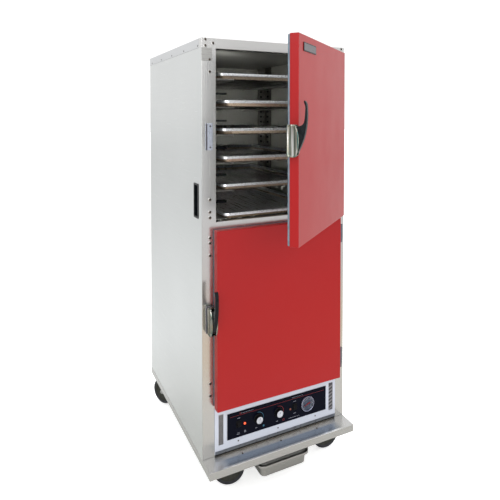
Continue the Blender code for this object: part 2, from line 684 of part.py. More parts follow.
def control_knob(name, x, finish):
    """Skirted knob on its thermostat shaft, turning about Y."""
    proud = 0.0165
    profile = [(0, -0.022), (0.0032, -0.022), (0.0032, 0.0004), (0.0190, 0.0004), (0.0190, 0.0026),
               (0.0172, 0.0040), (0.0165, proud - 0.0012), (0.0153, proud), (0, proud)]
    return add_object(name, turned_mesh(name, profile, 24, "y"), finish["black"], (x, PANEL_FACE, KNOB_Z))


def rocker_switch(name, x, finish):
    """Rocker cap pivoting about X inside its hole, upper half pressed in."""
    outline = [(0.0100, 0.0060), (-0.0020, 0.0098), (-0.0032, 0.0), (-0.0062, -0.0092), (0.0100, -0.0060)]
    half_width = 0.0068
    mesh = prism_mesh(name, outline, "x", -half_width, half_width)
    return add_object(name, mesh, finish["black"], (x, PANEL_FACE, SWITCH_Z))


def thermometer(finish):
    """Round dial thermometer: rimmed case with a recessed face and a stem."""
    r = DIAL_RADIUS
    profile = [(0, -0.020), (0.0035, -0.020), (0.0035, 0.0004), (r - 0.001, 0.0004), (r, 0.0020), (r, 0.0070),
               (r - 0.0012, 0.0082), (r - 0.0028, 0.0070), (r - 0.0032, 0.0036), (0.0015, 0.0036),
               (0.0015, 0.0050), (0, 0.0050)]
    made = add_object("thermometer", turned_mesh("thermometer", profile, 28, "y"), finish["dial"],
                      (DIAL_X, PANEL_FACE, KNOB_Z))
    outline = [(-0.0012, -0.008), (0.0012, -0.008), (0.0010, 0.015), (0, 0.022), (-0.0010, 0.015)]
    tilt = Matrix.Rotation(math.radians(NEEDLE_TURN), 2)
    turned = [tuple(tilt @ Vector(point)) for point in outline]
    needle = prism_mesh("thermometer_needle", turned, "y", -0.0050, -0.0042)
    add_object("thermometer_needle", needle, finish["needle"], (DIAL_X, PANEL_FACE - 0.0012, KNOB_Z))
    return made


def heater_bay(finish):
    """Heating element, blower and their stands inside the base bay."""
    floor = BASE_LIFT + 0.002 + GAP
    axis_z = BASE_LIFT + 0.120
    motor_y = FRONT + 0.230
    motor_x = -0.110
    shell = [(0, -0.045), (0.035, -0.045), (0.040, -0.040), (0.040, 0.030), (0.036, 0.034)]
    shaft = [(0.010, 0.034), (0.010, 0.040), (0.004, 0.040), (0.004, 0.078), (0, 0.078)]
    can = turned_mesh("blower_motor", shell + shaft, 24, "x")
    motor = add_object("blower_motor", can, finish["galvanised"], (motor_x, motor_y, axis_z))
    stand_half = (0.030, 0.035)
    stand_sheet = 0.003
    stand_left = motor_x - stand_half[0]
    stand = ((stand_left, motor_x + stand_half[0]), (motor_y - stand_half[1], motor_y + stand_half[1]),
             (floor, floor + stand_sheet))
    post = ((stand_left, stand_left + stand_sheet), (motor_y - 0.022, motor_y + 0.022),
            (floor + stand_sheet / 3, axis_z - 0.010))
    join(motor, block_mesh("motor_post", post))
    join(motor, block_mesh("motor_stand", stand))
    wheel_x = motor_x + 0.0425
    drum = [(0.0043, 0.0), (0.050, 0.0), (0.050, 0.002), (0.012, 0.002), (0.010, 0.016), (0.0043, 0.016)]
    fan = add_object("blower_wheel", turned_mesh("blower_wheel", drum, 18, "x"), finish["galvanised"],
                     (wheel_x, motor_y, axis_z))
    blades = 12
    for k in range(blades):
        angle = 2 * math.pi * k / blades
        blade = block_mesh("blade", ((0.001, 0.030), (0.034, 0.049), (-0.0007, 0.0007)))
        blade.transform(Matrix.Rotation(angle, 4, "X"))
        join(fan, blade, (wheel_x, motor_y, axis_z))
    element(floor, finish)


def element(floor, finish):
    """Bent tubular element on its mounting flange."""
    radius = 0.004
    path = bpy.data.curves.new("element_path", "CURVE")
    path.dimensions = "3D"
    path.bevel_depth = radius
    path.bevel_resolution = 1
    path.use_fill_caps = True
    path.resolution_u = 1
    line = path.splines.new("POLY")
    x0 = 0.060
    y0 = FRONT + 0.120
    z = BASE_LIFT + 0.120
    bend = 0.022
    far_y = y0 + 0.330
    near_y = y0 + 0.060
    first = [(x0, y0), (x0, far_y)]
    turn_one = arc((x0 + bend, far_y), bend, 180, 0, 8)[1:]
    second = [(x0 + 2 * bend, near_y)]
    turn_two = arc((x0 + 3 * bend, near_y), bend, 180, 360, 8)[1:]
    turn_three = arc((x0 + 5 * bend, far_y), bend, 180, 0, 8)
    points = first + turn_one + second + turn_two + turn_three + [(x0 + 6 * bend, y0)]
    line.points.add(len(points) - 1)
    for point, (x, y) in zip(line.points, points):
        point.co = (x, y, z, 1)
    maker = bpy.data.objects.new("element_path", path)
    bpy.context.scene.collection.objects.link(maker)
    bpy.context.view_layer.update()
    tube = bpy.data.meshes.new_from_object(maker.evaluated_get(bpy.context.evaluated_depsgraph_get()))
    bpy.data.objects.remove(maker, do_unlink=True)
    made = add_object("heater_element", tube, finish["heater"])
    smooth(tube)
    margin = 0.020
    flange_half = 0.002
    flange = ((x0 - margin, x0 + 6 * bend + margin), (y0 - flange_half, y0 + flange_half), (floor, z + 0.030))
    join(made, block_mesh("element_flange", flange))


def loose_trays(finish):
    """Water pan on the compartment floor and the drip tray under the bumper."""
    pan = [(0.0, 0.0500), (0.0, 0.0486), (0.0088, 0.0486), (0.0160, 0.0), (0.0174, 0.0014), (0.0104, 0.0500)]
    water = dished_mesh("water_pan", (0.300, 0.200), pan, 0.020)
    add_object("water_pan", water, finish["pan"], (0, LINER_BACK - 0.150, LINER_FLOOR + GAP))
    length = TRAY_BACK - TRAY_FRONT
    drop = TRAY_DROP
    under = drop - TRAY_SHEET
    tray = [(0.0, drop), (0.0, under), (TRAY_FLANGE, under), (0.0105, 0.0080), (0.0160, 0.0),
            (0.0170, 0.0014), (0.0119, 0.0088), (TRAY_FLANGE + TRAY_SHEET, drop)]
    size = (2 * (TRAY_HALF + TRAY_FLANGE), length)
    place = (0, (TRAY_FRONT + TRAY_BACK) / 2, TRAY_TOP - under)
    add_object("drip_tray", dished_mesh("drip_tray", size, tray, 0.018), finish["steel"], place)


def build():
    """Build the whole cabinet."""
    clear_scene()
    finish = make_materials()
    base_frame(finish)
    front_frame(finish)
    top_panel(finish)
    back_panel(finish)
    insulated_liner(finish)
    for side in (-1, 1):
        side_panel(side, finish)
        hand_grip(side, finish)
        slide_rack(side, finish)
    sheet_pans(finish)
    door("upper", UPPER_DOOR_BOTTOM, UPPER_DOOR_OPEN, finish)
    door("lower", LOWER_DOOR_BOTTOM, 0.0, finish)
    casters(finish)
    control_fascia(finish)
    control_panel(finish)
    control_knob("heat_knob", HEAT_KNOB_X, finish)
    control_knob("proof_knob", PROOF_KNOB_X, finish)
    rocker_switch("heat_switch", HEAT_SWITCH_X, finish)
    rocker_switch("proof_switch", PROOF_SWITCH_X, finish)
    thermometer(finish)
    heater_bay(finish)
    loose_trays(finish)


build()
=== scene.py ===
import json
import math

import bmesh
import bpy
from mathutils import Matrix, Vector


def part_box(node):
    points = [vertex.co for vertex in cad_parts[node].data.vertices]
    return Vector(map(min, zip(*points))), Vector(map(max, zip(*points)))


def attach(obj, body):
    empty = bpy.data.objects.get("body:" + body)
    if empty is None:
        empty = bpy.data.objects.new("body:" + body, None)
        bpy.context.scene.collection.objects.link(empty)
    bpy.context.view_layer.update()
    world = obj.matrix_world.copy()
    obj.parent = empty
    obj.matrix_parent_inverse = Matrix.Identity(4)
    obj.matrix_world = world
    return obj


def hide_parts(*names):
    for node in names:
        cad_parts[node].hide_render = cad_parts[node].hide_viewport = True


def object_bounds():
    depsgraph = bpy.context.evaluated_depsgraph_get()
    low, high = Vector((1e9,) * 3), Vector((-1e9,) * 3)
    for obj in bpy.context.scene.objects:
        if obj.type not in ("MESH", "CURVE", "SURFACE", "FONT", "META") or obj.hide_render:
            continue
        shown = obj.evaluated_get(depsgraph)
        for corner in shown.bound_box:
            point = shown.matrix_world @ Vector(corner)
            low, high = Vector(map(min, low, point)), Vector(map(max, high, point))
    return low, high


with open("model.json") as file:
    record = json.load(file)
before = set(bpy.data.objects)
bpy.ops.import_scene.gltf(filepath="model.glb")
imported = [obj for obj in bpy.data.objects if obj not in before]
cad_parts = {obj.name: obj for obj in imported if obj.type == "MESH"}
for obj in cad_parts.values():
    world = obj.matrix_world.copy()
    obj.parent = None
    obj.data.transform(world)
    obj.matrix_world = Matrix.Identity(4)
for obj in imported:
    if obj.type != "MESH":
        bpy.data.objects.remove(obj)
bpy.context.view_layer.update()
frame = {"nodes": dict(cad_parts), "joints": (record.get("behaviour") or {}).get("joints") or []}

MM = 0.001
JOINTS = {joint["name"]: joint for joint in frame["joints"]}

# Landmarks of the cabinet, read from the frame
FRAME_LOW, FRAME_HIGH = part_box("front_frame")
LEFT = FRAME_LOW.x
RIGHT = FRAME_HIGH.x
FRONT = FRAME_LOW.y
TOP = FRAME_HIGH.z
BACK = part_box("back_panel")[1].y
# Underside of the body, from which heights on the front are measured
BASE = 4 * MM
PANEL_LOW, PANEL_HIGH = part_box("control_panel")
FASCIA_LOW, FASCIA_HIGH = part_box("control_fascia")
SIDES = (("left", -1), ("right", 1))
DOORS = ("upper", "lower")
CORNERS = ("front_left", "front_right", "rear_left", "rear_right")

# Scale of the slow wave in large sheets, for each axis
WAVE = (0.5, 0.9, 2.4)


# ---------------------------------------------------------------- mesh helpers

def mm(points, lift=0.0):
    """Pairs given in millimetres, in metres, with the second of each raised by lift."""
    return [(a * MM, lift + b * MM) for a, b in points]


def new_mesh(build):
    """A mesh from a function that fills a bmesh."""
    shape = bmesh.new()
    build(shape)
    bmesh.ops.recalc_face_normals(shape, faces=shape.faces)
    mesh = bpy.data.meshes.new("mesh")
    shape.to_mesh(mesh)
    shape.free()
    return mesh


def link(name, mesh):
    """A new object in the scene."""
    made = bpy.data.objects.new(name, mesh)
    bpy.context.scene.collection.objects.link(made)
    return made


def bevel(obj, width, segments=2):
    """Round the object's real edges."""
    step = obj.modifiers.new("Bevel", "BEVEL")
    step.width = width
    step.segments = segments
    step.limit_method = "ANGLE"
    step.angle_limit = math.radians(35)
    step.harden_normals = True


def piece(name, shape, body, finish, width=0.0, segments=2, place=None, stands_for=()):
    """Put a mesh, or what a function builds, on its body with one of the finishes."""
    mesh = new_mesh(shape) if callable(shape) else shape
    mesh.name = name
    if place is not None:
        mesh = mesh.copy()
        mesh.transform(place)
    mesh.shade_smooth()
    mesh.set_sharp_from_angle(angle=math.radians(38))
    made = link(name, mesh)
    made.data.materials.clear()
    made.data.materials.append(FINISHES[finish])
    if width:
        bevel(made, width, segments)
    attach(made, body)
    if stands_for:
        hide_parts(*stands_for)


def add_block(shape, x, y, z):
    """A closed box between pairs of limits."""
    centre = [sum(pair) / 2 for pair in (x, y, z)]
    size = [abs(pair[1] - pair[0]) for pair in (x, y, z)]
    place = Matrix.Translation(centre) @ Matrix.Diagonal((*size, 1))
    bmesh.ops.create_cube(shape, size=1, matrix=place)


def blocks(*limits):
    """A mesh of separate boxes."""
    def build(shape):
        for box in limits:
            add_block(shape, *box)
    return new_mesh(build)


def join(shape, lower, upper):
    """Faces between two loops of equally many points."""
    count = len(lower)
    for k in range(count):
        n = (k + 1) % count
        shape.faces.new((lower[k], lower[n], upper[n], upper[k]))


def add_prism(shape, outline, axis, low, high):
    """Extrude an outline along x or y; its pairs are the other two axes in order."""
    ends = []
    for t in (low, high):
        points = [(t, a, b) if axis == "x" else (a, t, b) for a, b in outline]
        ends.append([shape.verts.new(point) for point in points])
    shape.faces.new(ends[0])
    shape.faces.new(ends[1])
    join(shape, *ends)


def prism(outline, axis, low, high):
    """One extruded outline as a mesh."""
    return new_mesh(lambda shape: add_prism(shape, outline, axis, low, high))


def add_turned(shape, profile, steps, place, flutes, depth):
    """Turn a (radius, height) profile about the place's +Z axis, fluted if it has flutes."""
    rings = []
    for radius, height in profile:
        if radius == 0:
            rings.append([shape.verts.new(place @ Vector((0, 0, height)))])
            continue
        ring = []
        for k in range(steps):
            angle = 2 * math.pi * k / steps
            r = radius - depth * (0.5 - 0.5 * math.cos(flutes * angle)) if flutes else radius
            ring.append(shape.verts.new(place @ Vector((r * math.cos(angle), r * math.sin(angle), height))))
        rings.append(ring)
    pairs = list(zip(rings, rings[1:]))
    if profile[0][0] != 0:
        pairs.append((rings[-1], rings[0]))
    for low, high in pairs:
        for k in range(steps):
            n = (k + 1) % steps
            corners = [low[k % len(low)], low[n % len(low)], high[n % len(high)], high[k % len(high)]]
            unique = list(dict.fromkeys(corners))
            if len(unique) > 2:
                shape.faces.new(unique)


def turned(profile, steps, *places, flutes=0, depth=0.0):
    """A mesh of one profile turned at each place."""
    def build(shape):
        for place in places:
            add_turned(shape, profile, steps, place, flutes, depth)
    return new_mesh(build)


def arc(centre, radius, start, end, steps):
    """Points along an arc, angles in degrees."""
    points = []
    for k in range(steps + 1):
        angle = math.radians(start + (end - start) * k / steps)
        points.append((centre[0] + radius * math.cos(angle), centre[1] + radius * math.sin(angle)))
    return points


def rounded(half_a, half_b, radius, steps=6):
    """Corner-rounded rectangle about the origin."""
    points = []
    for sign_a, sign_b, start in ((1, 1, 0), (-1, 1, 90), (-1, -1, 180), (1, -1, 270)):
        centre = (sign_a * (half_a - radius), sign_b * (half_b - radius))
        points += arc(centre, radius, start, start + 90, steps)
    return points


def swept(half_a, half_b, radius, profile, place, floor=None, steps=6):
    """Run a closed (inset, height) profile round a rounded rectangle, capping ring floor and the next one."""
    def build(shape):
        loops = []
        for inset, height in profile:
            outline = rounded(half_a - inset, half_b - inset, max(radius - inset * 0.5, 2 * MM), steps)
            loops.append([shape.verts.new(place @ Vector((a, b, height))) for a, b in outline])
        for i, loop in enumerate(loops):
            following = loops[(i + 1) % len(loops)]
            if i == floor:
                shape.faces.new(loop)
                shape.faces.new(following)
            else:
                join(shape, loop, following)
    return new_mesh(build)


def curve_through(points, density=4):
    """A smooth closed outline through the given points (Catmull-Rom)."""
    count = len(points)
    result = []
    for i in range(count):
        p0, p1, p2, p3 = (Vector(points[(i + k) % count]) for k in (-1, 0, 1, 2))
        for step in range(density):
            t = step / density
            curved = 0.5 * (2 * p1 + (p2 - p0) * t + (2 * p0 - 5 * p1 + 4 * p2 - p3) * t ** 2
                            + (3 * p1 - p0 - 3 * p2 + p3) * t ** 3)
            result.append((curved.x, curved.y))
    return result


def carve(mesh, *cutters):
    """Cut closed meshes out of a mesh and return the result."""
    body = link("carved", mesh)
    tools = [link("carver", cutter) for cutter in cutters]
    for tool in tools:
        step = body.modifiers.new("Boolean", "BOOLEAN")
        step.operation = "DIFFERENCE"
        step.solver = "EXACT"
        step.object = tool
    bpy.context.view_layer.update()
    result = bpy.data.meshes.new_from_object(body.evaluated_get(bpy.context.evaluated_depsgraph_get()))
    for leftover in (body, *tools):
        bpy.data.objects.remove(leftover, do_unlink=True)
    return result


def slotted(width, height, slots, slot_size, thickness):
    """A thin upright plate in the XZ plane with slots; slots are (x, z) centres on a grid."""
    xs = sorted({round(v, 6) for x, z in slots for v in (x - slot_size[0] / 2, x + slot_size[0] / 2)})
    zs = sorted({round(v, 6) for x, z in slots for v in (z - slot_size[1] / 2, z + slot_size[1] / 2)})
    xs = [-width / 2] + xs + [width / 2]
    zs = [0.0] + zs + [height]

    def build(shape):
        grid = [[shape.verts.new((x, 0, z)) for x in xs] for z in zs]
        for row in range(len(zs) - 1):
            for column in range(len(xs) - 1):
                if row % 2 and column % 2:
                    continue
                shape.faces.new((grid[row][column], grid[row][column + 1],
                                 grid[row + 1][column + 1], grid[row + 1][column]))
        shape.normal_update()
        bmesh.ops.solidify(shape, geom=shape.faces[:], thickness=thickness)
    return new_mesh(build)


def facing(direction, at):
    """Placement whose +Z points along direction."""
    turn = Vector(direction).to_track_quat("Z", "Y").to_matrix().to_4x4()
    return Matrix.Translation(at) @ turn


def door_place(prefix):
    """Placement of a door: origin at its hinge axis, x towards the hinge side, z up from its bottom edge."""
    joint = JOINTS[prefix + "_door_hinge"]
    return Matrix.Translation(joint["pos_m"]) @ Matrix.Rotation(math.radians(-joint["range_deg"][0]), 4, "Z")


def local_box(node, place):
    """A node's box in a placement's own axes."""
    points = [place.inverted() @ v.co for v in frame["nodes"][node].data.vertices]
    return [Vector(pick(p[i] for p in points) for i in range(3)) for pick in (min, max)]


# ---------------------------------------------------------------- materials

class Finish:
    """A Principled material with the procedural steps its surface needs."""

    def __init__(self, name, colour, roughness, metallic=0.0, coat=0.0):
        self.material = bpy.data.materials.new(name)
        self.material.use_nodes = True
        self.tree = self.material.node_tree
        self.shader = self.tree.nodes["Principled BSDF"]
        self.colour = colour
        self.normal = None
        self.put("Base Color", (*colour, 1))
        self.put("Roughness", roughness)
        self.put("Metallic", metallic)
        self.put("Coat Weight", coat)
        self.put("Coat Roughness", 0.08)

    def put(self, entry, value):
        """Set one of the shader's own values."""
        self.shader.inputs[entry].default_value = value

    def node(self, kind, **settings):
        made = self.tree.nodes.new(kind)
        for key, value in settings.items():
            setattr(made, key, value)
        return made

    def wire(self, source, target):
        self.tree.links.new(source, target)

    def noise(self, scale, detail=3.0, rough=0.55):
        """Noise over the object's own metres, by one scale or a scale for each axis."""
        place = self.node("ShaderNodeTexCoord")
        mapping = self.node("ShaderNodeMapping")
        mapping.inputs["Scale"].default_value = scale if isinstance(scale, tuple) else (scale,) * 3
        texture = self.node("ShaderNodeTexNoise")
        texture.inputs["Scale"].default_value = 1.0
        texture.inputs["Detail"].default_value = detail
        texture.inputs["Roughness"].default_value = rough
        self.wire(place.outputs["Object"], mapping.inputs["Vector"])
        self.wire(mapping.outputs["Vector"], texture.inputs["Vector"])
        return texture.outputs["Fac"]

    def spread(self, value, low, high, start=0.3, end=0.7):
        """Map a value from one range onto another."""
        made = self.node("ShaderNodeMapRange")
        for key, number in (("From Min", start), ("From Max", end), ("To Min", low), ("To Max", high)):
            made.inputs[key].default_value = number
        self.wire(value, made.inputs["Value"])
        return made.outputs["Result"]

    def along(self, coordinate, axis):
        """One axis of a texture coordinate."""
        place = self.node("ShaderNodeTexCoord")
        split = self.node("ShaderNodeSeparateXYZ")
        self.wire(place.outputs[coordinate], split.inputs[0])
        return split.outputs[axis]

    def blend(self, value, first, second):
        """Mix two colours, or the sockets that carry them, by a value."""
        mix = self.node("ShaderNodeMix", data_type="RGBA")
        self.wire(value, mix.inputs[0])
        for entry, source in ((6, first), (7, second)):
            if isinstance(source, tuple):
                mix.inputs[entry].default_value = (*source, 1)
            else:
                self.wire(source, mix.inputs[entry])
        return mix.outputs[2]

    def paint(self, colour):
        """Take the surface's colour from a socket."""
        self.wire(colour, self.shader.inputs["Base Color"])

    def painted(self):
        """The socket that gives the surface its colour."""
        return self.shader.inputs["Base Color"].links[0].from_socket

    def tone(self, value, darker, lighter=None):
        """Shade the colour between two tones by a value."""
        self.paint(self.blend(value, darker, lighter or self.colour))

    def ramp(self, value, stops):
        """Colour from a value through (position, colour) stops."""
        made = self.node("ShaderNodeValToRGB")
        elements = made.color_ramp.elements
        for index, (position, colour) in enumerate((stops[0], stops[-1])):
            elements[index].position = position
            elements[index].color = (*colour, 1)
        for position, colour in stops[1:-1]:
            elements.new(position).color = (*colour, 1)
        self.wire(value, made.inputs[0])
        return made.outputs["Color"]

    def upward(self, sides, tops):
        """One colour on upright faces and another on upward ones."""
        lift = self.spread(self.along("Normal", "Z"), 0, 1, 0.3, 0.6)
        self.paint(self.blend(lift, sides, tops))

    def rough(self, value, low, high):
        self.wire(self.spread(value, low, high), self.shader.inputs["Roughness"])

    def bump(self, value, distance, strength=1.0):
        """Add one layer of relief, in metres."""
        made = self.node("ShaderNodeBump")
        made.inputs["Distance"].default_value = distance
        made.inputs["Strength"].default_value = strength
        self.wire(value, made.inputs["Height"])
        if self.normal is not None:
            self.wire(self.normal, made.inputs["Normal"])
        self.normal = made.outputs["Normal"]
        self.wire(self.normal, self.shader.inputs["Normal"])


def scaled(colour, factor):
    """A colour made lighter or darker."""
    return tuple(min(channel * factor, 1) for channel in colour)


def brushed(name, colour, roughness, grain, wave=0.0, tone=0.93, metal=1.0, edge=0.0, above=None):
    """Brushed sheet: fine grain lines, cloudy sheen, slight oil-canning wave and soft folded edges."""
    finish = Finish(name, colour, roughness, metal)
    if edge:
        fold = finish.node("ShaderNodeBevel", samples=6)
        fold.inputs["Radius"].default_value = edge
        finish.normal = fold.outputs["Normal"]
    lines = finish.noise(grain, 4.0, 0.7)
    cloud = finish.noise((1.6, 1.6, 1.2), 2.0)
    finish.tone(finish.spread(cloud, 0, 1), scaled(colour, tone))
    finish.rough(lines, roughness - 0.03, roughness + 0.06)
    finish.bump(lines, 0.01 * MM, 0.35)
    if wave:
        finish.bump(finish.noise(WAVE, 1.0), wave)
    if above:
        finish.upward(finish.painted(), above)
    return finish.material


def moulded(name, colour, roughness, pebble=900.0, specular=0.5):
    """Moulded plastic: fine pebble, faint scuffs and uneven sheen."""
    finish = Finish(name, colour, roughness)
    finish.put("Specular IOR Level", specular)
    scuffs = finish.noise((60, 60, 45), 6.0, 0.7)
    finish.tone(finish.spread(scuffs, 0, 1), scaled(colour, 0.7), scaled(colour, 1.5))
    finish.rough(scuffs, roughness - 0.06, roughness + 0.12)
    finish.bump(finish.noise(pebble, 2.0), 0.03 * MM, 0.6)
    return finish.material


def enamel(name, colour, roughness, shade, specular=0.5):
    """Sprayed enamel: orange peel and soft depth of colour."""
    finish = Finish(name, colour, roughness)
    finish.put("Specular IOR Level", specular)
    cloud = finish.noise((1.1, 1.1, 0.9), 1.0)
    finish.tone(finish.spread(cloud, 0, 1), scaled(colour, shade))
    finish.rough(finish.noise((9, 9, 7), 4.0), roughness - 0.02, roughness + 0.04)
    finish.bump(finish.noise(300, 1.0), 0.004 * MM, 0.4)
    return finish.material


def worn_metal(name, colour, roughness, mottled, size=28.0):
    """Plated or galvanised metal with a mottled surface."""
    finish = Finish(name, colour, roughness, 1.0)
    patches = finish.noise(size, 5.0, 0.65)
    finish.tone(finish.spread(patches, 0, 1), mottled)
    finish.rough(patches, roughness - 0.08, roughness + 0.14)
    finish.bump(finish.noise(500, 2.0), 0.03 * MM, 0.5)
    return finish.material


def tyre_rubber():
    """Black rubber with dust in its pores."""
    finish = Finish("tyre rubber", (0.014, 0.016, 0.022), 0.5)
    dust = finish.noise(70, 6.0, 0.7)
    finish.tone(finish.spread(dust, 0, 1, 0.45, 0.8), (0.010, 0.012, 0.018), (0.045, 0.045, 0.046))
    finish.rough(dust, 0.38, 0.62)
    finish.bump(finish.noise(900, 2.0), 0.05 * MM, 0.6)
    return finish.material


def lamp(name, colour, glow):
    """Translucent pilot lens with a faint glow and moulded ribs."""
    finish = Finish(name, colour, 0.2, 0.0, 0.6)
    ribs = finish.noise(400, 1.0)
    finish.tone(finish.spread(ribs, 0, 1), scaled(colour, 0.6))
    finish.bump(ribs, 0.1 * MM)
    finish.put("Emission Color", (*colour, 1))
    finish.put("Emission Strength", glow)
    return finish.material


def polished_chrome():
    """Polished chrome with soft upright stripes of painted reflection in its colour, as if it mirrored the
    room.
    """
    finish = Finish("latch chrome", (0.80, 0.80, 0.78), 0.14, 1.0)
    # The stripes are painted reflection, laid into the base colour.
    painted_reflection_bands = finish.spread(finish.noise((150, 150, 5), 2.0, 0.5), 0, 1)
    reflection_stops = ((0.0, (0.06, 0.055, 0.045)), (0.30, (0.22, 0.21, 0.16)), (0.46, (0.05, 0.17, 0.18)),
              (0.58, (0.30, 0.29, 0.23)), (0.80, (0.38, 0.37, 0.33)), (1.0, (0.66, 0.66, 0.64)))
    finish.paint(finish.ramp(painted_reflection_bands, reflection_stops))
    finish.rough(finish.noise(60, 3.0), 0.10, 0.20)
    finish.bump(finish.noise(300, 2.0), 0.01 * MM, 0.4)
    return finish.material


def pan_metal():
    """Sheet-pan aluminium: a painted highlight on the rim, painted reflection of the warm floor on the walls
    and painted shade underneath.
    """
    # rim is a painted highlight on the pan's top; clean is the metal's own colour.
    rim = (0.88, 0.90, 0.93)
    painted_underside_shade = (0.10, 0.09, 0.08)
    painted_wall_reflection = (0.62, 0.50, 0.38)
    clean = (0.74, 0.74, 0.75)
    finish = Finish("pan aluminium", rim, 0.28, 0.85)
    # By facing: painted shade on downward faces, painted reflection of the warm floor on upright walls, the
    # metal's own colour on upward faces; the upper part takes the rim's painted highlight.
    stops = ((0.0, painted_underside_shade), (0.12, painted_underside_shade), (0.20, painted_wall_reflection), (0.72, painted_wall_reflection), (0.88, clean), (1.0, clean))
    lower = finish.ramp(finish.spread(finish.along("Normal", "Z"), 0, 1, -1.0, 1.0), stops)
    finish.paint(finish.blend(finish.spread(finish.along("Generated", "Z"), 0, 1, 0.50, 0.62), lower, rim))
    finish.rough(finish.noise((240, 5, 240), 4.0, 0.7), 0.23, 0.34)
    finish.bump(finish.noise(WAVE, 1.0), 0.8 * MM)
    return finish.material


def bumper_steel():
    """Brushed steel; on the bumper's top, painted reflections, slate along it and warm at its back, and a
    painted highlight on its front fold.
    """
    side = (0.50, 0.50, 0.485)
    # On upward faces only: bright is a painted highlight along the front fold, slate and warm are painted
    # reflections, and the lighter ends are painted reflection too.
    bright = (0.96, 0.97, 0.97)
    slate = (0.25, 0.29, 0.34)
    warm = (0.80, 0.75, 0.66)
    finish = Finish("bumper stainless", side, 0.24, 0.85)
    depth = finish.spread(finish.along("Object", "Y"), 0, 1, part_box("base_frame")[0].y, FRONT)
    stops = ((0.0, bright), (0.085, bright), (0.115, slate), (0.54, slate), (0.70, warm), (1.0, warm))
    across = finish.node("ShaderNodeMath", operation="ABSOLUTE")
    finish.wire(finish.along("Object", "X"), across.inputs[0])
    ends = finish.spread(across.outputs[0], 0, 1, 0.235, 0.275)
    finish.upward(side, finish.blend(ends, finish.ramp(depth, stops), (0.54, 0.54, 0.53)))
    finish.rough(finish.noise((3, 160, 160), 3.0, 0.6), 0.255, 0.27)
    finish.bump(finish.noise(WAVE, 1.0), 1.0 * MM)
    return finish.material


def lens_glass():
    """Clear dial lens with a hint of smear."""
    finish = Finish("dial lens", (1, 1, 1), 0.03)
    finish.put("Transmission Weight", 1.0)
    finish.put("IOR", 1.08)
    finish.rough(finish.noise(90, 4.0), 0.01, 0.06)
    return finish.material


def make_finishes():
    """Every surface of the cabinet, by its short name."""
    return {
        "side": brushed("side sheet", (0.67, 0.685, 0.68), 0.30, (5, 5, 420), 9.0 * MM),
        # The top sheet's upward faces take a darker colour than its sides: painted shade.
        "top": brushed("top sheet", (0.64, 0.65, 0.66), 0.32, (420, 6, 6), 1.0 * MM,
                       above=(0.36, 0.37, 0.38)),
        "stile": brushed("stile stainless", (0.67, 0.665, 0.655), 0.22, (420, 420, 5), 1.0 * MM),
        "base": bumper_steel(),
        "strip": brushed("trim stainless", (0.52, 0.515, 0.50), 0.28, (5, 420, 420)),
        "liner": brushed("liner aluminium", (0.36, 0.36, 0.325), 0.44, (300, 300, 6), 2.5 * MM, 0.72,
                         metal=0.4),
        "rack": brushed("rack aluminium", (0.72, 0.71, 0.68), 0.34, (5, 4, 300), 0.0, 0.8, metal=0.7),
        "slide": brushed("upright aluminium", (0.20, 0.195, 0.18), 0.40, (300, 300, 6), 0.0, 0.6, metal=0.6),
        "strike": brushed("strike stainless", (0.70, 0.74, 0.86), 0.24, (300, 300, 6), 0.0, 0.9,
                          edge=1.5 * MM),
        "pan": pan_metal(),
        "tray": brushed("tray stainless", (0.44, 0.435, 0.42), 0.28, (5, 300, 300), 0.6 * MM, 0.85,
                        edge=1.5 * MM),
        "flange": brushed("tray flange", (0.42, 0.42, 0.41), 0.45, (5, 300, 300), metal=0.3),
        "chrome": polished_chrome(),
        "bezel": worn_metal("dial bezel", (0.56, 0.58, 0.74), 0.24, (0.46, 0.48, 0.64), 60.0),
        "plate": worn_metal("door plate", (0.20, 0.19, 0.20), 0.34, (0.13, 0.12, 0.13), 60.0),
        "zinc": worn_metal("caster zinc", (0.46, 0.46, 0.45), 0.34, (0.34, 0.34, 0.33)),
        "galvanised": worn_metal("galvanised sheet", (0.46, 0.48, 0.50), 0.42, (0.34, 0.36, 0.38), 45.0),
        "mesh": worn_metal("vent mesh", (0.36, 0.36, 0.38), 0.36, (0.28, 0.28, 0.30), 45.0),
        "sheath": worn_metal("heater sheath", (0.14, 0.11, 0.09), 0.46, (0.07, 0.05, 0.05), 60.0),
        "screw": worn_metal("screw heads", (0.10, 0.080, 0.066), 0.38, (0.045, 0.035, 0.030), 300.0),
        "hinge": worn_metal("hinge steel", (0.21, 0.235, 0.28), 0.30, (0.15, 0.165, 0.20), 40.0),
        "red": enamel("red door enamel", (0.345, 0.0048, 0.0062), 0.30, 0.90, 0.34),
        "fascia": enamel("fascia enamel", (0.54, 0.57, 0.65), 0.34, 0.94),
        "overlay": enamel("control overlay", (0.0030, 0.0038, 0.0095), 0.20, 0.7, 0.05),
        "white": moulded("white knob cap", (0.43, 0.44, 0.48), 0.34, 600.0),
        "black": moulded("black plastic", (0.0050, 0.0070, 0.0085), 0.26, specular=0.18),
        # shade and matt also colour the dark sheets and strips put in as painted shade behind slots, in gaps
        # and along grooves
        "shade": moulded("dark grey shade and pointer", (0.055, 0.055, 0.065), 0.45),
        "matt": moulded("matt black plastic and painted shade", (0.0030, 0.0032, 0.0042), 0.40, specular=0.12),
        "gasket": moulded("door gasket", (0.115, 0.155, 0.190), 0.52, 500.0),
        "hub": moulded("caster hub", (0.034, 0.035, 0.027), 0.50, specular=0.25),
        "tyre": tyre_rubber(),
        "dial": enamel("dial face", (0.060, 0.078, 0.120), 0.40, 0.85, 0.2),
        "lens": lens_glass(),
        "pilot": lamp("lit pilot", (0.95, 0.09, 0.015), 1.1),
        "dim": lamp("unlit pilot", (0.20, 0.035, 0.010), 0.05),
        "ink": moulded("pale ink", (0.27, 0.28, 0.33), 0.5, 1200.0),
        "red_ink": moulded("red ink", (0.23, 0.010, 0.014), 0.45, 1200.0),
        "blue_ink": moulded("blue ink", (0.02, 0.12, 0.19), 0.45, 1200.0),
    }


FINISHES = make_finishes()


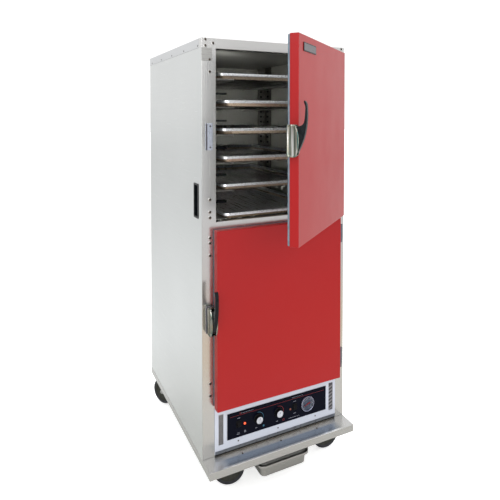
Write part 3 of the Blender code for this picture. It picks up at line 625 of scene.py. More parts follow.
def dress_nodes():
    """Give the carried-over nodes their materials, and small radii on their sheet edges."""
    table = {
        "side": (("left_side_panel", "right_side_panel", "back_panel"), 0.3),
        "top": (("top_panel",), 0.8),
        "stile": (("front_frame",), 1.2),
        "base": (("base_frame",), 1.4),
        "liner": (("insulated_liner",), 1.0),
        "red": (("upper_door", "lower_door"), 0.0),
        "strike": (("upper_strike", "lower_strike"), 0.0),
        "fascia": (("control_fascia",), 0.8),
        "overlay": (("control_panel",), 0.3),
        "black": (("left_hand_grip", "right_hand_grip"), 0.3),
        "matt": (("heat_switch", "proof_switch"), 0.3),
        "galvanised": (("blower_motor", "blower_wheel"), 0.0),
        "sheath": (("heater_element",), 0.0),
        "hinge": (tuple(f"{door}_{end}_hinge_{leaf}_leaf" for door in DOORS
                        for end in ("top", "bottom") for leaf in ("frame", "door")), 0.3),
        "zinc": (tuple(f"{corner}_caster_{part}" for corner in CORNERS for part in ("plate", "fork")), 0.5),
    }
    for key, (names, radius) in table.items():
        for name in names:
            node = frame["nodes"][name]
            node.data.materials.clear()
            node.data.materials.append(FINISHES[key])
            if radius:
                weld = node.modifiers.new("Weld", "WELD")
                weld.merge_threshold = 0.01 * MM
                bevel(node, radius * MM)


# ---------------------------------------------------------------- pieces

def rivets(name, spots, direction, radius=4.6 * MM, washer=True, dome=0.45):
    """Blind rivets, hollow where their stems were, and the bright rings they have pressed into the sheet."""
    height = radius * dome
    head = [(0, 0), (radius, 0), (radius * 0.96, height * 0.45), (radius * 0.72, height * 0.86),
            (radius * 0.36, height), (radius * 0.28, height * 0.45), (0, height * 0.4)]
    ring = [(radius * 1.02, 0), (radius * 1.5, 0), (radius * 1.44, 0.25 * MM), (radius * 1.02, 0.4 * MM)]
    places = [facing(direction, spot) for spot in spots]
    if washer:
        piece(name + "_rings", turned(ring, 24, *places), "cabinet", "strip")
    piece(name, turned(head, 20, *places), "cabinet", "screw")


def fasteners():
    """Rivets of the stiles, cap, back, fascia and bumper."""
    proud = 0.05 * MM
    inner = 32 * MM
    outer = 15 * MM
    heights = (1.5395, 1.4941, 1.0144, 0.9676, 0.9464, 0.8702, 0.8503, 0.8033, 0.3145, 0.2680)
    for side, sign in SIDES:
        edge = LEFT if sign < 0 else RIGHT
        places = [(inner, z) for z in heights] + [(outer, 1.6132), (outer, 1.5906), (46 * MM, 1.6012)]
        spots = [(edge - sign * inset, FRONT - proud, BASE + z) for inset, z in places]
        rivets(side + "_stile_rivets", spots, (0, -1, 0))
        row = [(edge + sign * proud, FRONT + 41 * MM + k * 168 * MM, TOP - 27 * MM) for k in range(5)]
        rivets(side + "_cap_rivets", row, (sign, 0, 0), radius=3.4 * MM, washer=False, dome=0.25)
        column = [(sign * (RIGHT - 14 * MM), BACK + proud, BASE + 60 * MM + k * 0.19) for k in range(8)]
        rivets(side + "_back_rivets", column, (0, 1, 0), radius=3.4 * MM)
    row = [(LEFT + x, FASCIA_LOW.y - proud, BASE + 64 * MM) for x in (0.147, 0.324, 0.503)]
    rivets("fascia_screws", row, (0, -1, 0), radius=3.0 * MM, washer=False)
    spots = [(x, FRONT - 30 * MM, FRAME_LOW.z - 0.25 * MM) for x in (-0.17, 0.0, 0.17)]
    rivets("bumper_screws", spots, (0, 0, 1), radius=3.6 * MM, washer=False)


def stile_plates():
    """Thin lap plates where the stiles meet the header, and the side sheets' wrap on the frame."""
    for side, sign in SIDES:
        edge = LEFT if sign < 0 else RIGHT
        lap = blocks((sorted((edge - sign * 0.4 * MM, edge - sign * 42.0 * MM)),
                      (FRONT - 0.5 * MM, FRONT - 0.05 * MM), (BASE + 1.534, BASE + 1.583)))
        piece(side + "_header_lap", lap, "cabinet", "tray", 0.15 * MM, 1)
        wrap = blocks((sorted((edge + sign * 0.02 * MM, edge + sign * 0.25 * MM)),
                       (FRONT + 0.5 * MM, FRONT + 30.3 * MM), (FRAME_LOW.z + 0.3 * MM, TOP - 35 * MM)))
        piece(side + "_frame_wrap", wrap, "cabinet", "side")


def strike_details():
    """Screws of each strike and a dark strip of painted shadow along its outer side, where its groove is."""
    for prefix in DOORS:
        low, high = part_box(prefix + "_strike")
        middle = (low.x + high.x) / 2 + 4 * MM
        spots = [(middle, low.y - 0.05 * MM, z) for z in (low.z + 11 * MM, high.z - 11 * MM)]
        rivets(prefix + "_strike_screws", spots, (0, -1, 0), radius=3.2 * MM, washer=False)
        # A dark strip painted in as the shadow in the groove along the strike's outer side.
        groove_shadow = blocks(((low.x + 0.4 * MM, low.x + 7.0 * MM), (low.y - 0.25 * MM, low.y - 0.02 * MM),
                         (low.z + 0.5 * MM, high.z - 0.5 * MM)))
        piece(prefix + "_strike_groove_shadow", groove_shadow, "cabinet", "shade", 0.08 * MM, 1)


def door_back(prefix, place):
    """The seal's box in the door's own axes, and the plane through its middle."""
    low, high = local_box(prefix + "_door_gasket", place)
    centre = Matrix.Translation(((low.x + high.x) / 2, 0, (low.z + high.z) / 2))
    return low, high, place @ centre @ Matrix.Rotation(math.radians(-90), 4, "X")


def door_gasket(prefix, place):
    """Ribbed seal round the back of a door."""
    low, high, plane = door_back(prefix, place)
    ribs = ((0.0, -3.4), (0.8, -1.2), (2.6, -0.3), (6.0, 0.0), (9.0, -0.5), (11.0, -2.4), (12.5, -3.4),
            (14.0, -2.0), (17.0, -1.8), (19.6, -3.4))
    profile = [(0.0, low.y)] + mm(ribs, high.y) + [(19.8 * MM, low.y)]
    seal = swept((high.x - low.x) / 2, (high.z - low.z) / 2, 5 * MM, profile, plane)
    piece(prefix + "_gasket_seal", seal, prefix + "_door", "gasket",
          stands_for=(prefix + "_door_gasket",))


def door_lining(prefix, place):
    """Pressed inner sheet inside the seal."""
    low, high, plane = door_back(prefix, place)
    skin = local_box(prefix + "_door", place)[1].y + 0.2 * MM
    profile = mm(((0, 0), (0, 0.8), (30, 0.8), (34, 2.6), (35, 2.6), (34, 0)), skin)
    inset = 20.5 * MM
    half_x = (high.x - low.x) / 2 - inset
    half_z = (high.z - low.z) / 2 - inset
    lining = swept(half_x, half_z, 6 * MM, profile, plane, floor=4)
    piece(prefix + "_door_lining", lining, prefix + "_door", "strip")


def latch_case(prefix, place):
    """Chromed D-shaped case with a dished outer side, slotted for its lever."""
    low, high = local_box(prefix + "_latch_body", place)
    middle_y = (low.y + high.y) / 2
    middle_z = (low.z + high.z) / 2
    deep = (high.y - low.y) / 2
    half = (high.z - low.z) / 2
    sagitta = 13 * MM
    corner = 3 * MM
    bow = (half ** 2 + sagitta ** 2) / (2 * sagitta)
    sweep = math.degrees(math.asin(half / bow)) - 2
    shoulder = low.y + sagitta + corner
    head = middle_z + half
    foot = middle_z - half
    outline = [(high.y, head - corner), (high.y - corner, head), (shoulder, head)]
    outline += arc((low.y + bow, middle_z), bow, 180 - sweep, 180 + sweep, 28)
    outline += [(shoulder, foot), (high.y - corner, foot), (high.y, foot + corner)]
    layers = ((7.0, 2.2), (6.0, 2.0), (4.6, 0.5), (3.2, 0.0), (1.6, 0.0), (0.5, 0.6), (0.0, 2.0))
    rings = mm(layers, low.x) + mm(((0.0, -2.0), (0.5, -0.6), (1.8, 0.0)), high.x)

    def build(shape):
        loops = []
        for inset, x in rings:
            narrow = 1 - inset / deep
            short = 1 - inset / half
            points = [(x, middle_y + (y - middle_y) * narrow, middle_z + (z - middle_z) * short)
                      for y, z in outline]
            loops.append([shape.verts.new(point) for point in points])
        shape.faces.new(loops[0])
        shape.faces.new(loops[-1])
        for lower, upper in zip(loops, loops[1:]):
            join(shape, lower, upper)
    lever_low, lever_high = local_box(prefix + "_latch_lever", place)
    side = 0.8 * MM
    slot = blocks(((lever_low.x - side, lever_high.x + side), (low.y - 20 * MM, high.y - 14.4 * MM),
                   (middle_z - 44.5 * MM, middle_z + 60 * MM)))
    case = carve(new_mesh(build), slot)
    piece(prefix + "_latch_case", case, prefix + "_door", "chrome", 0.5 * MM, 2, place,
          (prefix + "_latch_body",))


def pull_lever(prefix, place):
    """Moulded fin-shaped pull with a hooked tip."""
    low, high = local_box(prefix + "_latch_lever", place)
    pivot = place.inverted() @ Vector(JOINTS[prefix + "_latch_pull"]["pos_m"])
    outer = [(-28.5, 157.2), (-33.0, 153.5), (-36.4, 145.0), (-38.0, 129.0), (-38.1, 105.0), (-35.8, 79.0),
             (-30.8, 51.0), (-23.5, 28.0), (-15.0, 8.0), (-7.0, -5.0)]
    root = [(0.0, -7.8), (6.8, -4.0), (8.3, 5.0), (6.0, 31.0)]
    inner = [(4.0, 70.0), (2.0, 76.0), (-11.5, 77.5), (-21.5, 81.0), (-27.8, 90.0), (-30.6, 107.0),
             (-32.0, 127.0), (-31.5, 140.0), (-27.5, 151.0)]
    outline = [(pivot.y + y * MM, pivot.z + z * MM) for y, z in curve_through(outer + root + inner, 3)]
    fin = prism(outline, "x", low.x, high.x)
    piece(prefix + "_pull_lever", fin, prefix + "_lever", "black", 2.2 * MM, 3, place,
          (prefix + "_latch_lever",))


def badge():
    """Blank framed plate near the upper door's free corner."""
    place = door_place("upper")
    low, high = local_box("upper_door", place)
    middle_x = low.x + 104.5 * MM
    middle_z = high.z - 38.5 * MM
    half_x = 63.5 * MM
    half_z = 14.5 * MM

    def plate(inset, radius, front, back):
        outline = rounded(half_x - inset, half_z - inset, radius, 4)
        return prism([(a + middle_x, b + middle_z) for a, b in outline], "y", low.y - front, low.y - back)
    surround = plate(0, 2.5 * MM, 2.2 * MM, 0.05 * MM)
    piece("plate_surround", surround, "upper_door", "black", 0.5 * MM, 2, place)
    field = plate(3.2 * MM, 1.5 * MM, 2.7 * MM, 2.25 * MM)
    piece("plate_field", field, "upper_door", "plate", 0.15 * MM, 1, place)


def doors():
    """Everything the two doors carry."""
    for prefix in DOORS:
        place = door_place(prefix)
        door_gasket(prefix, place)
        door_lining(prefix, place)
        latch_case(prefix, place)
        pull_lever(prefix, place)
    badge()


def pan_profile(depth, rim, slope, face, wall=1.1 * MM):
    """Closed (inset, height) ring list of a flanged pan and the index of its capped floor."""
    foot = rim + slope
    flange = [(3.0 * MM, depth - face - 0.9 * MM), (0.8 * MM, depth - face - 0.9 * MM), (0.0, depth - face)]
    flange += mm(((0.0, -1.6), (0.5, -0.4), (1.6, 0.0)), depth)
    flange += [(rim - 1.4 * MM, depth), (rim - 0.2 * MM, depth - 1.0 * MM)]
    inside = [(foot - 1.6 * MM, 4.4 * MM), (foot + 0.6 * MM, wall + 0.9 * MM), (foot + 3.2 * MM, wall)]
    outside = [(foot + 3.2 * MM, 0.0), (foot - 0.2 * MM, 0.9 * MM), (foot - 2.6 * MM, 3.6 * MM),
               (rim - wall - 0.4 * MM, depth - face * 0.7)]
    return flange + inside + outside, len(flange) + len(inside) - 1


def pressed_pan(name, node, body, rim, slope, face, radius, finish="pan"):
    """A pressed pan that stands in a node's place; its measures are in millimetres."""
    low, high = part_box(node)
    profile, floor = pan_profile(high.z - low.z, rim * MM, slope * MM, face * MM)
    place = Matrix.Translation(((low.x + high.x) / 2, (low.y + high.y) / 2, low.z))
    pan = swept((high.x - low.x) / 2, (high.y - low.y) / 2, radius * MM, profile, place, floor, 8)
    piece(name, pan, body, finish, stands_for=(node,))


def pans():
    """The six sheet pans, the water pan and the drip tray with its flange."""
    for k in range(1, 7):
        pressed_pan(f"rimmed_pan_{k}", f"sheet_pan_{k}", f"pan_{k}", 7, 11, 9.5, 22)
    pressed_pan("humidity_pan", "water_pan", "water_pan", 6, 11, 4, 24)
    pressed_pan("drip_pan", "drip_tray", "drip_tray", 12, 4, 8, 24, "tray")
    low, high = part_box("drip_tray")
    flange = blocks(((low.x + 9 * MM, high.x - 9 * MM), (low.y + 2.5 * MM, low.y + 42 * MM),
                     (high.z - 0.9 * MM, high.z - 0.05 * MM)))
    piece("drip_pan_flange", flange, "drip_tray", "flange", 0.3 * MM)


def rack_sides(side, sign):
    """A rack's box, its x at the wall and its x at the pans."""
    low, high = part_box(side + "_slide_rack")
    return (low, high, low.x, high.x) if sign < 0 else (low, high, high.x, low.x)


def slotted_wall(side, sign, width, off, middle, first, columns, slot, thickness):
    """A slotted sheet as high as the rack, standing off the inner wall."""
    low, high, wall, _ = rack_sides(side, sign)
    height = high.z - low.z
    pitch = 27.2 * MM
    rows = [first + k * pitch for k in range(int((height - 30 * MM) / pitch))]
    mesh = slotted(width, height, [(width * share, z) for z in rows for share in columns], slot, thickness)
    turn = Matrix.Rotation(math.radians(90 * sign), 4, "Z")
    mesh.transform(Matrix.Translation((wall - sign * off, middle, low.z)) @ turn)
    return mesh


def upright(side, sign, y):
    """Slotted channel that carries the ledges."""
    low, high, wall, _ = rack_sides(side, sign)
    width = 30 * MM
    sheet = 1.4 * MM
    slot = (9 * MM, 14 * MM)
    web = slotted_wall(side, sign, width, 12 * MM, y + width / 2, 18 * MM, (0,), slot, sheet)

    def channel(shape):
        shape.from_mesh(web)
        across = sorted((wall - sign * 0.3 * MM, wall - sign * 10.5 * MM))
        for limits in ((y, y + sheet), (y + width - sheet, y + width)):
            add_block(shape, across, limits, (low.z, high.z))
    return new_mesh(channel)


def racks():
    """Slotted uprights, lipped ledges and spare clip blocks whose black is a painted shade, standing for the
    plain rack nodes.
    """
    top_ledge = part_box("sheet_pan_1")[0].z - 0.3 * MM
    pitch = (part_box("sheet_pan_1")[0].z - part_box("sheet_pan_6")[0].z) / 5
    for side, sign in SIDES:
        low, high, wall, tip = rack_sides(side, sign)
        front = upright(side, sign, FRONT + 0.100)
        piece(side + "_front_upright", front, "cabinet", "slide",
              stands_for=(side + "_slide_rack",))
        rear = upright(side, sign, FRONT + 0.625)
        piece(side + "_rear_upright", rear, "cabinet", "slide")

        def ledges(shape):
            face = wall - sign * 12.2 * MM
            lip = tip + sign * 1.2 * MM
            for level in range(12):
                top = top_ledge - level * pitch
                ledge = [(face, top), (tip, top), (tip, top - 6.5 * MM), (lip, top - 6.5 * MM),
                         (lip, top - 1.2 * MM), (face, top - 1.2 * MM)]
                add_prism(shape, ledge, "y", low.y, high.y)
        piece(side + "_ledges", ledges, "cabinet", "rack", 0.3 * MM, 1)
        # Black clip blocks at the unused levels: painted shade where the ledge ends lie in shadow.
        reach = sorted((wall - sign * 12.5 * MM, tip + sign * 6 * MM))
        depth = (FRONT + 101 * MM, FRONT + 129 * MM)
        middles = [top_ledge - (level + 0.5) * pitch for level in range(11)]
        shadow_clips = blocks(*[(reach, depth, (z - 4 * MM, z + 4 * MM)) for z in middles])
        piece(side + "_spare_shadow_clips", shadow_clips, "cabinet", "matt", 0.6 * MM)


def duct_panels():
    """Slotted air-duct sheets on the rear of both inner walls, with a dark sheet of painted shade behind the
    slots.
    """
    width = 0.150
    rear = BACK - 30 * MM
    for side, sign in SIDES:
        low, high, wall, _ = rack_sides(side, sign)
        panel = slotted_wall(side, sign, width, 3.2 * MM, rear - width / 2, 20 * MM, (-0.25, 0.25),
                             (26 * MM, 10 * MM), 1.2 * MM)
        piece(side + "_duct_panel", panel, "cabinet", "slide")
        # The dark sheet behind the slots is painted shade.
        lining = blocks((sorted((wall - sign * 0.4 * MM, wall - sign * 1.0 * MM)),
                         (rear + 1 * MM - width, rear - 1 * MM), (low.z + 1 * MM, high.z - 1 * MM)))
        piece(side + "_duct_shadow_sheet", lining, "cabinet", "matt")


def wheel_part(half):
    """One half of a profile, in millimetres, mirrored and turned about +Y."""
    points = mm(half)
    mirrored = [(radius, -height) for radius, height in reversed(points) if height]
    return turned(points + mirrored, 72, Matrix.Rotation(math.radians(90), 4, "X"))


def casters():
    """Tyres, hubs and plate bolts."""
    tyre = wheel_part(((49.5, -13.5), (52.5, -15.2), (57.0, -15.8), (60.5, -14.4), (62.6, -11.0),
                       (63.4, -5.0), (63.5, 0.0)))
    hub = wheel_part(((4.5, -17.6), (10.5, -17.6), (11.8, -15.5), (13.5, -9.4), (17.0, -8.2), (40.0, -7.6),
                      (43.5, -9.0), (46.5, -13.6), (49.3, -13.2)))
    bolt = mm(((0, 0), (5.2, 0), (5.2, 3.4), (4.2, 4.2), (0, 4.2)))
    for corner in CORNERS:
        joint = JOINTS[corner + "_roll"]
        axis = Vector(joint["axis"]).normalized()
        place = Matrix.Translation(joint["pos_m"]) @ Matrix.Rotation(math.atan2(-axis.x, axis.y), 4, "Z")
        piece(corner + "_tyre", tyre, corner + "_wheel", "tyre", place=place,
              stands_for=(corner + "_caster_wheel",))
        piece(corner + "_hub", hub, corner + "_wheel", "hub", place=place)
        low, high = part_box(corner + "_caster_plate")
        spots = [(x, y, high.z - 3.55 * MM) for x in (low.x + 9 * MM, high.x - 9 * MM)
                 for y in (low.y + 9 * MM, high.y - 9 * MM)]
        bolts = turned(bolt, 6, *[facing((0, 0, -1), spot) for spot in spots])
        piece(corner + "_plate_bolts", bolts, "cabinet", "screw")


def print_flat(shape, outline, y):
    """A printed shape in front of the surface at y."""
    add_prism(shape, outline, "y", y - 0.12 * MM, y - 0.02 * MM)


def print_ring(shape, centre, radius, width, start, end, y):
    """A printed arc; radius and width are in millimetres."""
    steps = max(6, int(abs(end - start) / 8))
    inner = (radius - width) * MM
    print_flat(shape, arc(centre, radius * MM, start, end, steps) + arc(centre, inner, end, start, steps), y)


def knob(prefix):
    """Fluted black knob with its white cap and pointer line."""
    centre = Vector(JOINTS[prefix + "_knob_turn"]["pos_m"])
    proud = centre.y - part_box(prefix + "_knob")[0].y
    place = facing((0, -1, 0), centre)
    skirt = mm(((0, 0.5), (18.8, 0.5), (19.0, 1.6), (18.2, 2.8), (16.6, 3.8)))
    skirt += mm(((16.2, -2.2), (15.6, -1.0), (0, -1.0)), proud)
    piece(prefix + "_fluted_knob", turned(skirt, 120, place, flutes=20, depth=0.55 * MM), prefix + "_knob",
          "matt", stands_for=(prefix + "_knob",))
    cap = mm(((0, -0.95), (13.4, -0.95), (13.6, -0.5), (12.8, -0.05), (6.0, 0), (0, 0)), proud)
    piece(prefix + "_knob_cap", turned(cap, 64, place), prefix + "_knob", "white")
    line = blocks(((-0.7 * MM, 0.7 * MM), (1 * MM, 10 * MM), (proud - 0.02 * MM, proud + 0.15 * MM)))
    tilt = Matrix.Rotation(math.radians(-18), 4, "Z")
    piece(prefix + "_knob_pointer", line, prefix + "_knob", "shade", place=place @ tilt)


def panel_prints():
    """Generic marks on the overlay: line, arcs, ticks, dots and rings."""
    y = PANEL_LOW.y
    heat = Vector(JOINTS["heat_knob_turn"]["pos_m"])
    proof = Vector(JOINTS["proof_knob_turn"]["pos_m"])
    head = PANEL_HIGH.z - 9 * MM
    label = BASE + 94 * MM

    def red(shape):
        add_block(shape, (PANEL_LOW.x + 10 * MM, PANEL_HIGH.x - 10 * MM), (y - 0.12 * MM, y - 0.02 * MM),
                  (PANEL_HIGH.z - 15.2 * MM, PANEL_HIGH.z - 14.4 * MM))
        print_ring(shape, (proof.x, proof.z), 25, 1.3, -20, 95, y)
        print_ring(shape, (proof.x + 24 * MM, BASE + 93 * MM), 4.5, 1.2, 0, 350, y)
        print_ring(shape, (PANEL_LOW.x + 55 * MM, head), 3, 1, 0, 350, y)

    def blue(shape):
        print_ring(shape, (heat.x, heat.z), 25, 1.3, -20, 95, y)
        print_flat(shape, arc((heat.x + 25 * MM, label), 3.8 * MM, 0, 345, 20), y)

    def pale(shape):
        marks = [(PANEL_LOW.x + 0.060 + k * 7 * MM, head, 4.5, 1.1) for k in range(8)]
        marks += [(PANEL_HIGH.x - 0.165 + k * 7 * MM, head, 4.5, 0.9) for k in range(8)]
        marks += [(heat.x - 8 * MM, label, 9, 1.4), (proof.x - 6 * MM, label, 9, 1.4)]
        marks += [(LEFT + 0.148, BASE + 154 * MM, 12, 1.3), (LEFT + 0.401, BASE + 154 * MM, 12, 1.3)]
        marks += [(LEFT + 0.146, BASE + 91 * MM, 14, 1.0), (LEFT + 0.146, BASE + 96 * MM, 10, 1.0)]
        marks += [(LEFT + 0.401, BASE + 105 * MM, 12, 1.2), (LEFT + 0.398, BASE + 90 * MM, 52, 0.9)]
        for x, z, width, height in marks:
            add_block(shape, (x - width * MM / 2, x + width * MM / 2), (y - 0.12 * MM, y - 0.02 * MM),
                      (z - height * MM / 2, z + height * MM / 2))
        print_ring(shape, (LEFT + 0.175, BASE + 95 * MM), 4.2, 1.4, 0, 350, y)
    piece("red_marks", red, "cabinet", "red_ink")
    piece("blue_marks", blue, "cabinet", "blue_ink")
    piece("pale_marks", pale, "cabinet", "ink")


def switch_bezels():
    """Frames round the rockers and the two pilot lenses."""
    frame_profile = mm(((0.0, 0.1), (0.0, 1.0), (0.8, 1.6), (2.2, 1.2), (2.4, 0.1)))
    dome = mm(((0, 0.05), (4.6, 0.05), (4.5, 1.4), (3.4, 2.6), (1.6, 3.2), (0, 3.4)))
    for prefix, lamp_finish, offset in (("heat", "pilot", 26 * MM), ("proof", "dim", -21 * MM)):
        centre = Vector(JOINTS[prefix + "_switch_rock"]["pos_m"])
        face = facing((0, -1, 0), (centre.x, PANEL_LOW.y, centre.z))
        bezel = swept(10.6 * MM, 13.6 * MM, 2 * MM, frame_profile, face)
        piece(prefix + "_switch_bezel", bezel, "cabinet", "matt")
        at = facing((0, -1, 0), (centre.x + offset, PANEL_LOW.y, centre.z - 5 * MM))
        piece(prefix + "_pilot_lens", turned(dome, 32, at), "cabinet", lamp_finish)


def spun(outline, angle, centre):
    """An outline turned about the origin and moved to a centre in the XZ plane."""
    cos = math.cos(angle)
    sin = math.sin(angle)
    return [(centre.x + a * cos - b * sin, centre.z + a * sin + b * cos) for a, b in outline]


def dial():
    """Thermometer: rolled bezel, printed face, lens and needle."""
    joint = JOINTS["dial_needle_swing"]
    low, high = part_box("thermometer")
    radius = (high.x - low.x) / 2
    centre = Vector((joint["pos_m"][0], PANEL_LOW.y, joint["pos_m"][2]))
    place = facing((0, -1, 0), centre)
    rolled = ((0.6, 0.3), (0, 1.4), (0, 5.6), (0.6, 6.6), (1.4, 6.9), (2.2, 6.4), (2.4, 3.6), (2.6, 0.3))
    bezel = turned([(radius - inset * MM, height * MM) for inset, height in rolled], 72, place)
    piece("dial_bezel", bezel, "cabinet", "bezel", stands_for=("thermometer",))
    rim = radius - 2.7 * MM
    face = turned([(0, 0.6 * MM), (rim, 0.6 * MM), (rim, 3.4 * MM), (0, 3.4 * MM)], 72, place)
    piece("dial_face", face, "cabinet", "dial")

    def ticks(shape):
        reach = radius - 4.4 * MM
        for k in range(31):
            length = 5.0 * MM if k % 5 == 0 else 3.0 * MM
            width = 0.60 * MM if k % 5 == 0 else 0.45 * MM
            tick = [(reach, -width), (reach, width), (reach - length, width), (reach - length, -width)]
            print_flat(shape, spun(tick, math.radians(225 - 270 * k / 30), centre), centre.y - 3.4 * MM)
        print_ring(shape, (centre.x, centre.z), radius / MM - 12, 0.5, -45, 225, centre.y - 3.4 * MM)
    piece("dial_ticks", ticks, "cabinet", "white")
    low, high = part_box("thermometer_needle")
    angle = math.atan2(low.z - centre.z, low.x - centre.x)
    outline = mm(((22, 0), (14, 1.7), (2, 2.1), (-12, 2.4), (-12, -2.4), (2, -2.1), (14, -1.7)))
    needle = prism(spun(outline, angle, centre), "y", low.y, high.y)
    piece("dial_pointer", needle, "dial_needle", "red_ink", stands_for=("thermometer_needle",))
    glass = turned([(0, 5.9 * MM), (rim, 5.7 * MM), (rim, 6.1 * MM), (0, 6.5 * MM)], 48, place)
    piece("dial_lens", glass, "cabinet", "lens")


def vents():
    """Fine grille behind the left fascia slot and slanted louvres behind the right one, each backed by a dark
    sheet of painted shade.
    """
    pitch = 4.2 * MM
    height = 117.8 * MM
    foot = BASE + 68.6 * MM
    y = FASCIA_LOW.y + 0.8 * MM
    for side, x in (("left", LEFT + 74.5 * MM), ("right", LEFT + 582.0 * MM)):
        # A dark sheet behind each slot: painted shade for the dark space seen through it.
        shadow_sheet = blocks(((x - 10 * MM, x + 10 * MM), (y + 1.4 * MM, y + 2.0 * MM), (foot, foot + height)))
        piece(side + "_vent_shadow_sheet", shadow_sheet, "cabinet", "shade")
    margin = 3 * MM
    rows = [margin + k * pitch for k in range(int((height - margin) / pitch))]
    width = 18.8 * MM
    grid = [(width * share, z) for z in rows for share in (-0.36, -0.12, 0.12, 0.36)]
    grille = slotted(width, height, grid, (width * 0.15, 2.5 * MM), 0.5 * MM)
    place = Matrix.Translation((LEFT + 74.5 * MM, y, foot))
    piece("left_vent_grille", grille, "cabinet", "mesh", place=place)

    def louvres(shape):
        near = LEFT + 572.1 * MM
        far = LEFT + 591.9 * MM
        slant = 8 * MM
        step = 15.4 * MM
        for k in range(int((height - slant) / step)):
            z = foot + k * step + 1 * MM
            bar = [(near, z), (far, z + slant), (far, z + slant + 6.6 * MM), (near, z + 6.6 * MM)]
            add_prism(shape, bar, "y", y, y + 0.5 * MM)
    piece("right_vent_louvres", louvres, "cabinet", "mesh")


def fascia_trim():
    """Kick strip under the fascia and a dark strip of painted shadow in the gap where it meets the front
    frame.
    """
    x = (FASCIA_LOW.x + 1 * MM, FASCIA_HIGH.x - 1 * MM)
    strip = blocks((x, (FASCIA_LOW.y - 1.2 * MM, FASCIA_LOW.y - 0.05 * MM),
                    (FASCIA_LOW.z, FASCIA_LOW.z + 12 * MM)))
    piece("kick_strip", strip, "cabinet", "hinge", 0.4 * MM)
    # A dark strip painted in as the shadow in the gap below the fascia.
    seal = blocks((x, (FRONT - 2.0 * MM, FRONT - 0.05 * MM),
                   (FRAME_LOW.z + 0.4 * MM, FASCIA_LOW.z - 0.4 * MM)))
    piece("kick_gap_shadow", seal, "cabinet", "matt", 0.4 * MM)


# ---------------------------------------------------------------- studio

CAMERA_AT = (-0.94348, -2.06404, 1.33463)
CAMERA_TURN = (88.613, 0.0, -25.93)
CAMERA_LENS = 34.69
CAMERA_SHIFT = -0.2457
# The y range of the floor's colours in the metals
FLOOR_FRONT = -5.0
FLOOR_BACK = 1.0
FLOOR_GLOW = 0.55


def camera():
    """Camera at the photograph's place; the shift follows its rotation mode, so other views have none."""
    data = bpy.data.cameras.new("Camera")
    data.lens = CAMERA_LENS
    made = link("Camera", data)
    made.location = CAMERA_AT
    made.rotation_euler = [math.radians(angle) for angle in CAMERA_TURN]
    bpy.context.scene.camera = made
    track = data.driver_add("shift_y")
    track.driver.type = "SUM"
    source = track.driver.variables.new()
    source.type = "SINGLE_PROP"
    source.targets[0].id = made
    source.targets[0].data_path = "rotation_mode"
    for old in list(track.modifiers):
        track.modifiers.remove(old)
    scale = track.modifiers.new("GENERATOR")
    scale.coefficients = (0.0, CAMERA_SHIFT)


def sky():
    """White surround: dimmer behind the camera, brighter beyond the cabinet, brightest seen directly."""
    world = bpy.data.worlds.new("Studio")
    world.use_nodes = True
    bpy.context.scene.world = world
    tree = world.node_tree
    ground = tree.nodes["Background"]
    ground.inputs["Color"].default_value = (1, 1, 1, 1)
    coords = tree.nodes.new("ShaderNodeTexCoord")
    dot = tree.nodes.new("ShaderNodeVectorMath")
    dot.operation = "DOT_PRODUCT"
    dot.inputs[1].default_value = (0.30, 0.62, 0.45)
    ramp = tree.nodes.new("ShaderNodeMapRange")
    for key, number in (("From Min", -0.8), ("From Max", 0.8), ("To Min", 0.78), ("To Max", 1.05)):
        ramp.inputs[key].default_value = number
    rays = tree.nodes.new("ShaderNodeLightPath")
    pick = tree.nodes.new("ShaderNodeMix")
    pick.inputs[3].default_value = 1.1
    tree.links.new(coords.outputs["Generated"], dot.inputs[0])
    tree.links.new(dot.outputs["Value"], ramp.inputs["Value"])
    tree.links.new(rays.outputs["Is Camera Ray"], pick.inputs[0])
    tree.links.new(ramp.outputs["Result"], pick.inputs[2])
    tree.links.new(pick.outputs[0], ground.inputs["Strength"])


def softbox(name, at, size, power, aim=(0, 0, 0.8), spread=180):
    """A large soft area light, aimed at the cabinet's middle unless told otherwise."""
    data = bpy.data.lights.new(name, "AREA")
    data.shape = "RECTANGLE"
    data.size = size[0]
    data.size_y = size[1]
    data.energy = power
    data.spread = math.radians(spread)
    made = link(name, data)
    made.location = at
    made.rotation_euler = (Vector(aim) - Vector(at)).to_track_quat("-Z", "Y").to_euler()
    return made


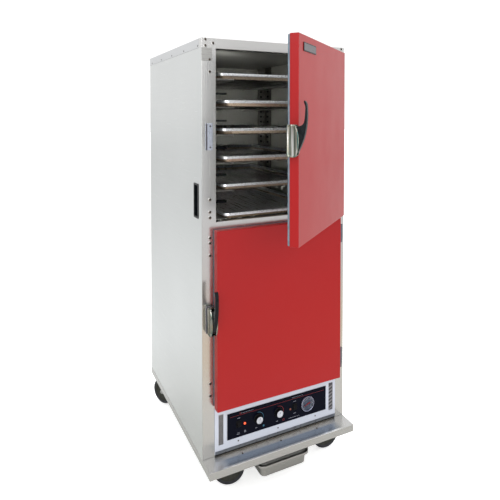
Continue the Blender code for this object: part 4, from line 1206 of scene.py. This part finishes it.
def floor_in_metal(floor):
    """Colour the metals see in the floor: pale far in front, warm nearer, grey by the cabinet."""
    mauve = (0.60, 0.57, 0.57)
    tan = (0.62, 0.52, 0.40)
    grey = (0.62, 0.62, 0.59)
    stops = ((0.0, (0.86, 0.86, 0.87)), (0.43, mauve), (0.52, tan), (0.605, tan), (0.665, grey), (0.78, grey),
             (1.0, (0.88, 0.89, 0.89)))
    return floor.ramp(floor.spread(floor.along("Object", "Y"), 0, 1, FLOOR_FRONT, FLOOR_BACK), stops)


def studio():
    """Pale floor that glows to the camera alone, soft lights, and fills that light only the inner walls."""
    pale = Finish("studio floor", (0.95, 0.95, 0.945), 0.7)
    pale.tone(pale.noise(0.6), (0.93, 0.93, 0.925))
    pale.bump(pale.noise(40), 0.1 * MM, 0.2)
    rays = pale.node("ShaderNodeLightPath")
    pale.paint(pale.blend(rays.outputs["Is Glossy Ray"], pale.painted(), floor_in_metal(pale)))
    glow = pale.node("ShaderNodeMath", operation="MULTIPLY")
    glow.inputs[1].default_value = FLOOR_GLOW
    pale.wire(rays.outputs["Is Camera Ray"], glow.inputs[0])
    pale.wire(glow.outputs[0], pale.shader.inputs["Emission Strength"])
    pale.put("Emission Color", (1, 1, 1, 1))
    sheet = new_mesh(lambda shape: bmesh.ops.create_grid(shape, x_segments=8, y_segments=8, size=40))
    floor = link("studio_floor", sheet)
    floor.location.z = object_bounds()[0].z - 0.2 * MM
    floor.data.materials.append(pale.material)
    softbox("key", (-2.6, -2.4, 3.2), (2.2, 2.2), 40)
    softbox("fill", (3.2, -1.6, 2.0), (2.4, 2.4), 18)
    softbox("top", (0.0, 0.0, 4.2), (3.0, 3.0), 40)
    softbox("front", (-0.5, -2.6, 1.5), (1.2, 1.2), 15)
    walls = bpy.data.collections.new("inner_walls")
    walls.objects.link(frame["nodes"]["insulated_liner"])
    for side, sign, power in (("left", -1, 2.4), ("right", 1, 0.3)):
        for level, middle in (("upper", BASE + 1.255), ("lower", BASE + 0.565)):
            at = (sign * 0.262, FRONT + 60 * MM, middle)
            aim = (0.28 if sign < 0 else 0, BACK - 0.1, middle)
            strip = softbox(f"{side}_{level}_fill", at, (0.03, 0.60), power, aim, 80)
            strip.light_linking.receiver_collection = walls


dress_nodes()
fasteners()
stile_plates()
strike_details()
doors()
pans()
racks()
duct_panels()
casters()
knob("heat")
knob("proof")
panel_prints()
switch_bezels()
dial()
vents()
fascia_trim()
studio()
camera()
sky()
bpy.context.scene.view_settings.view_transform = "Standard"
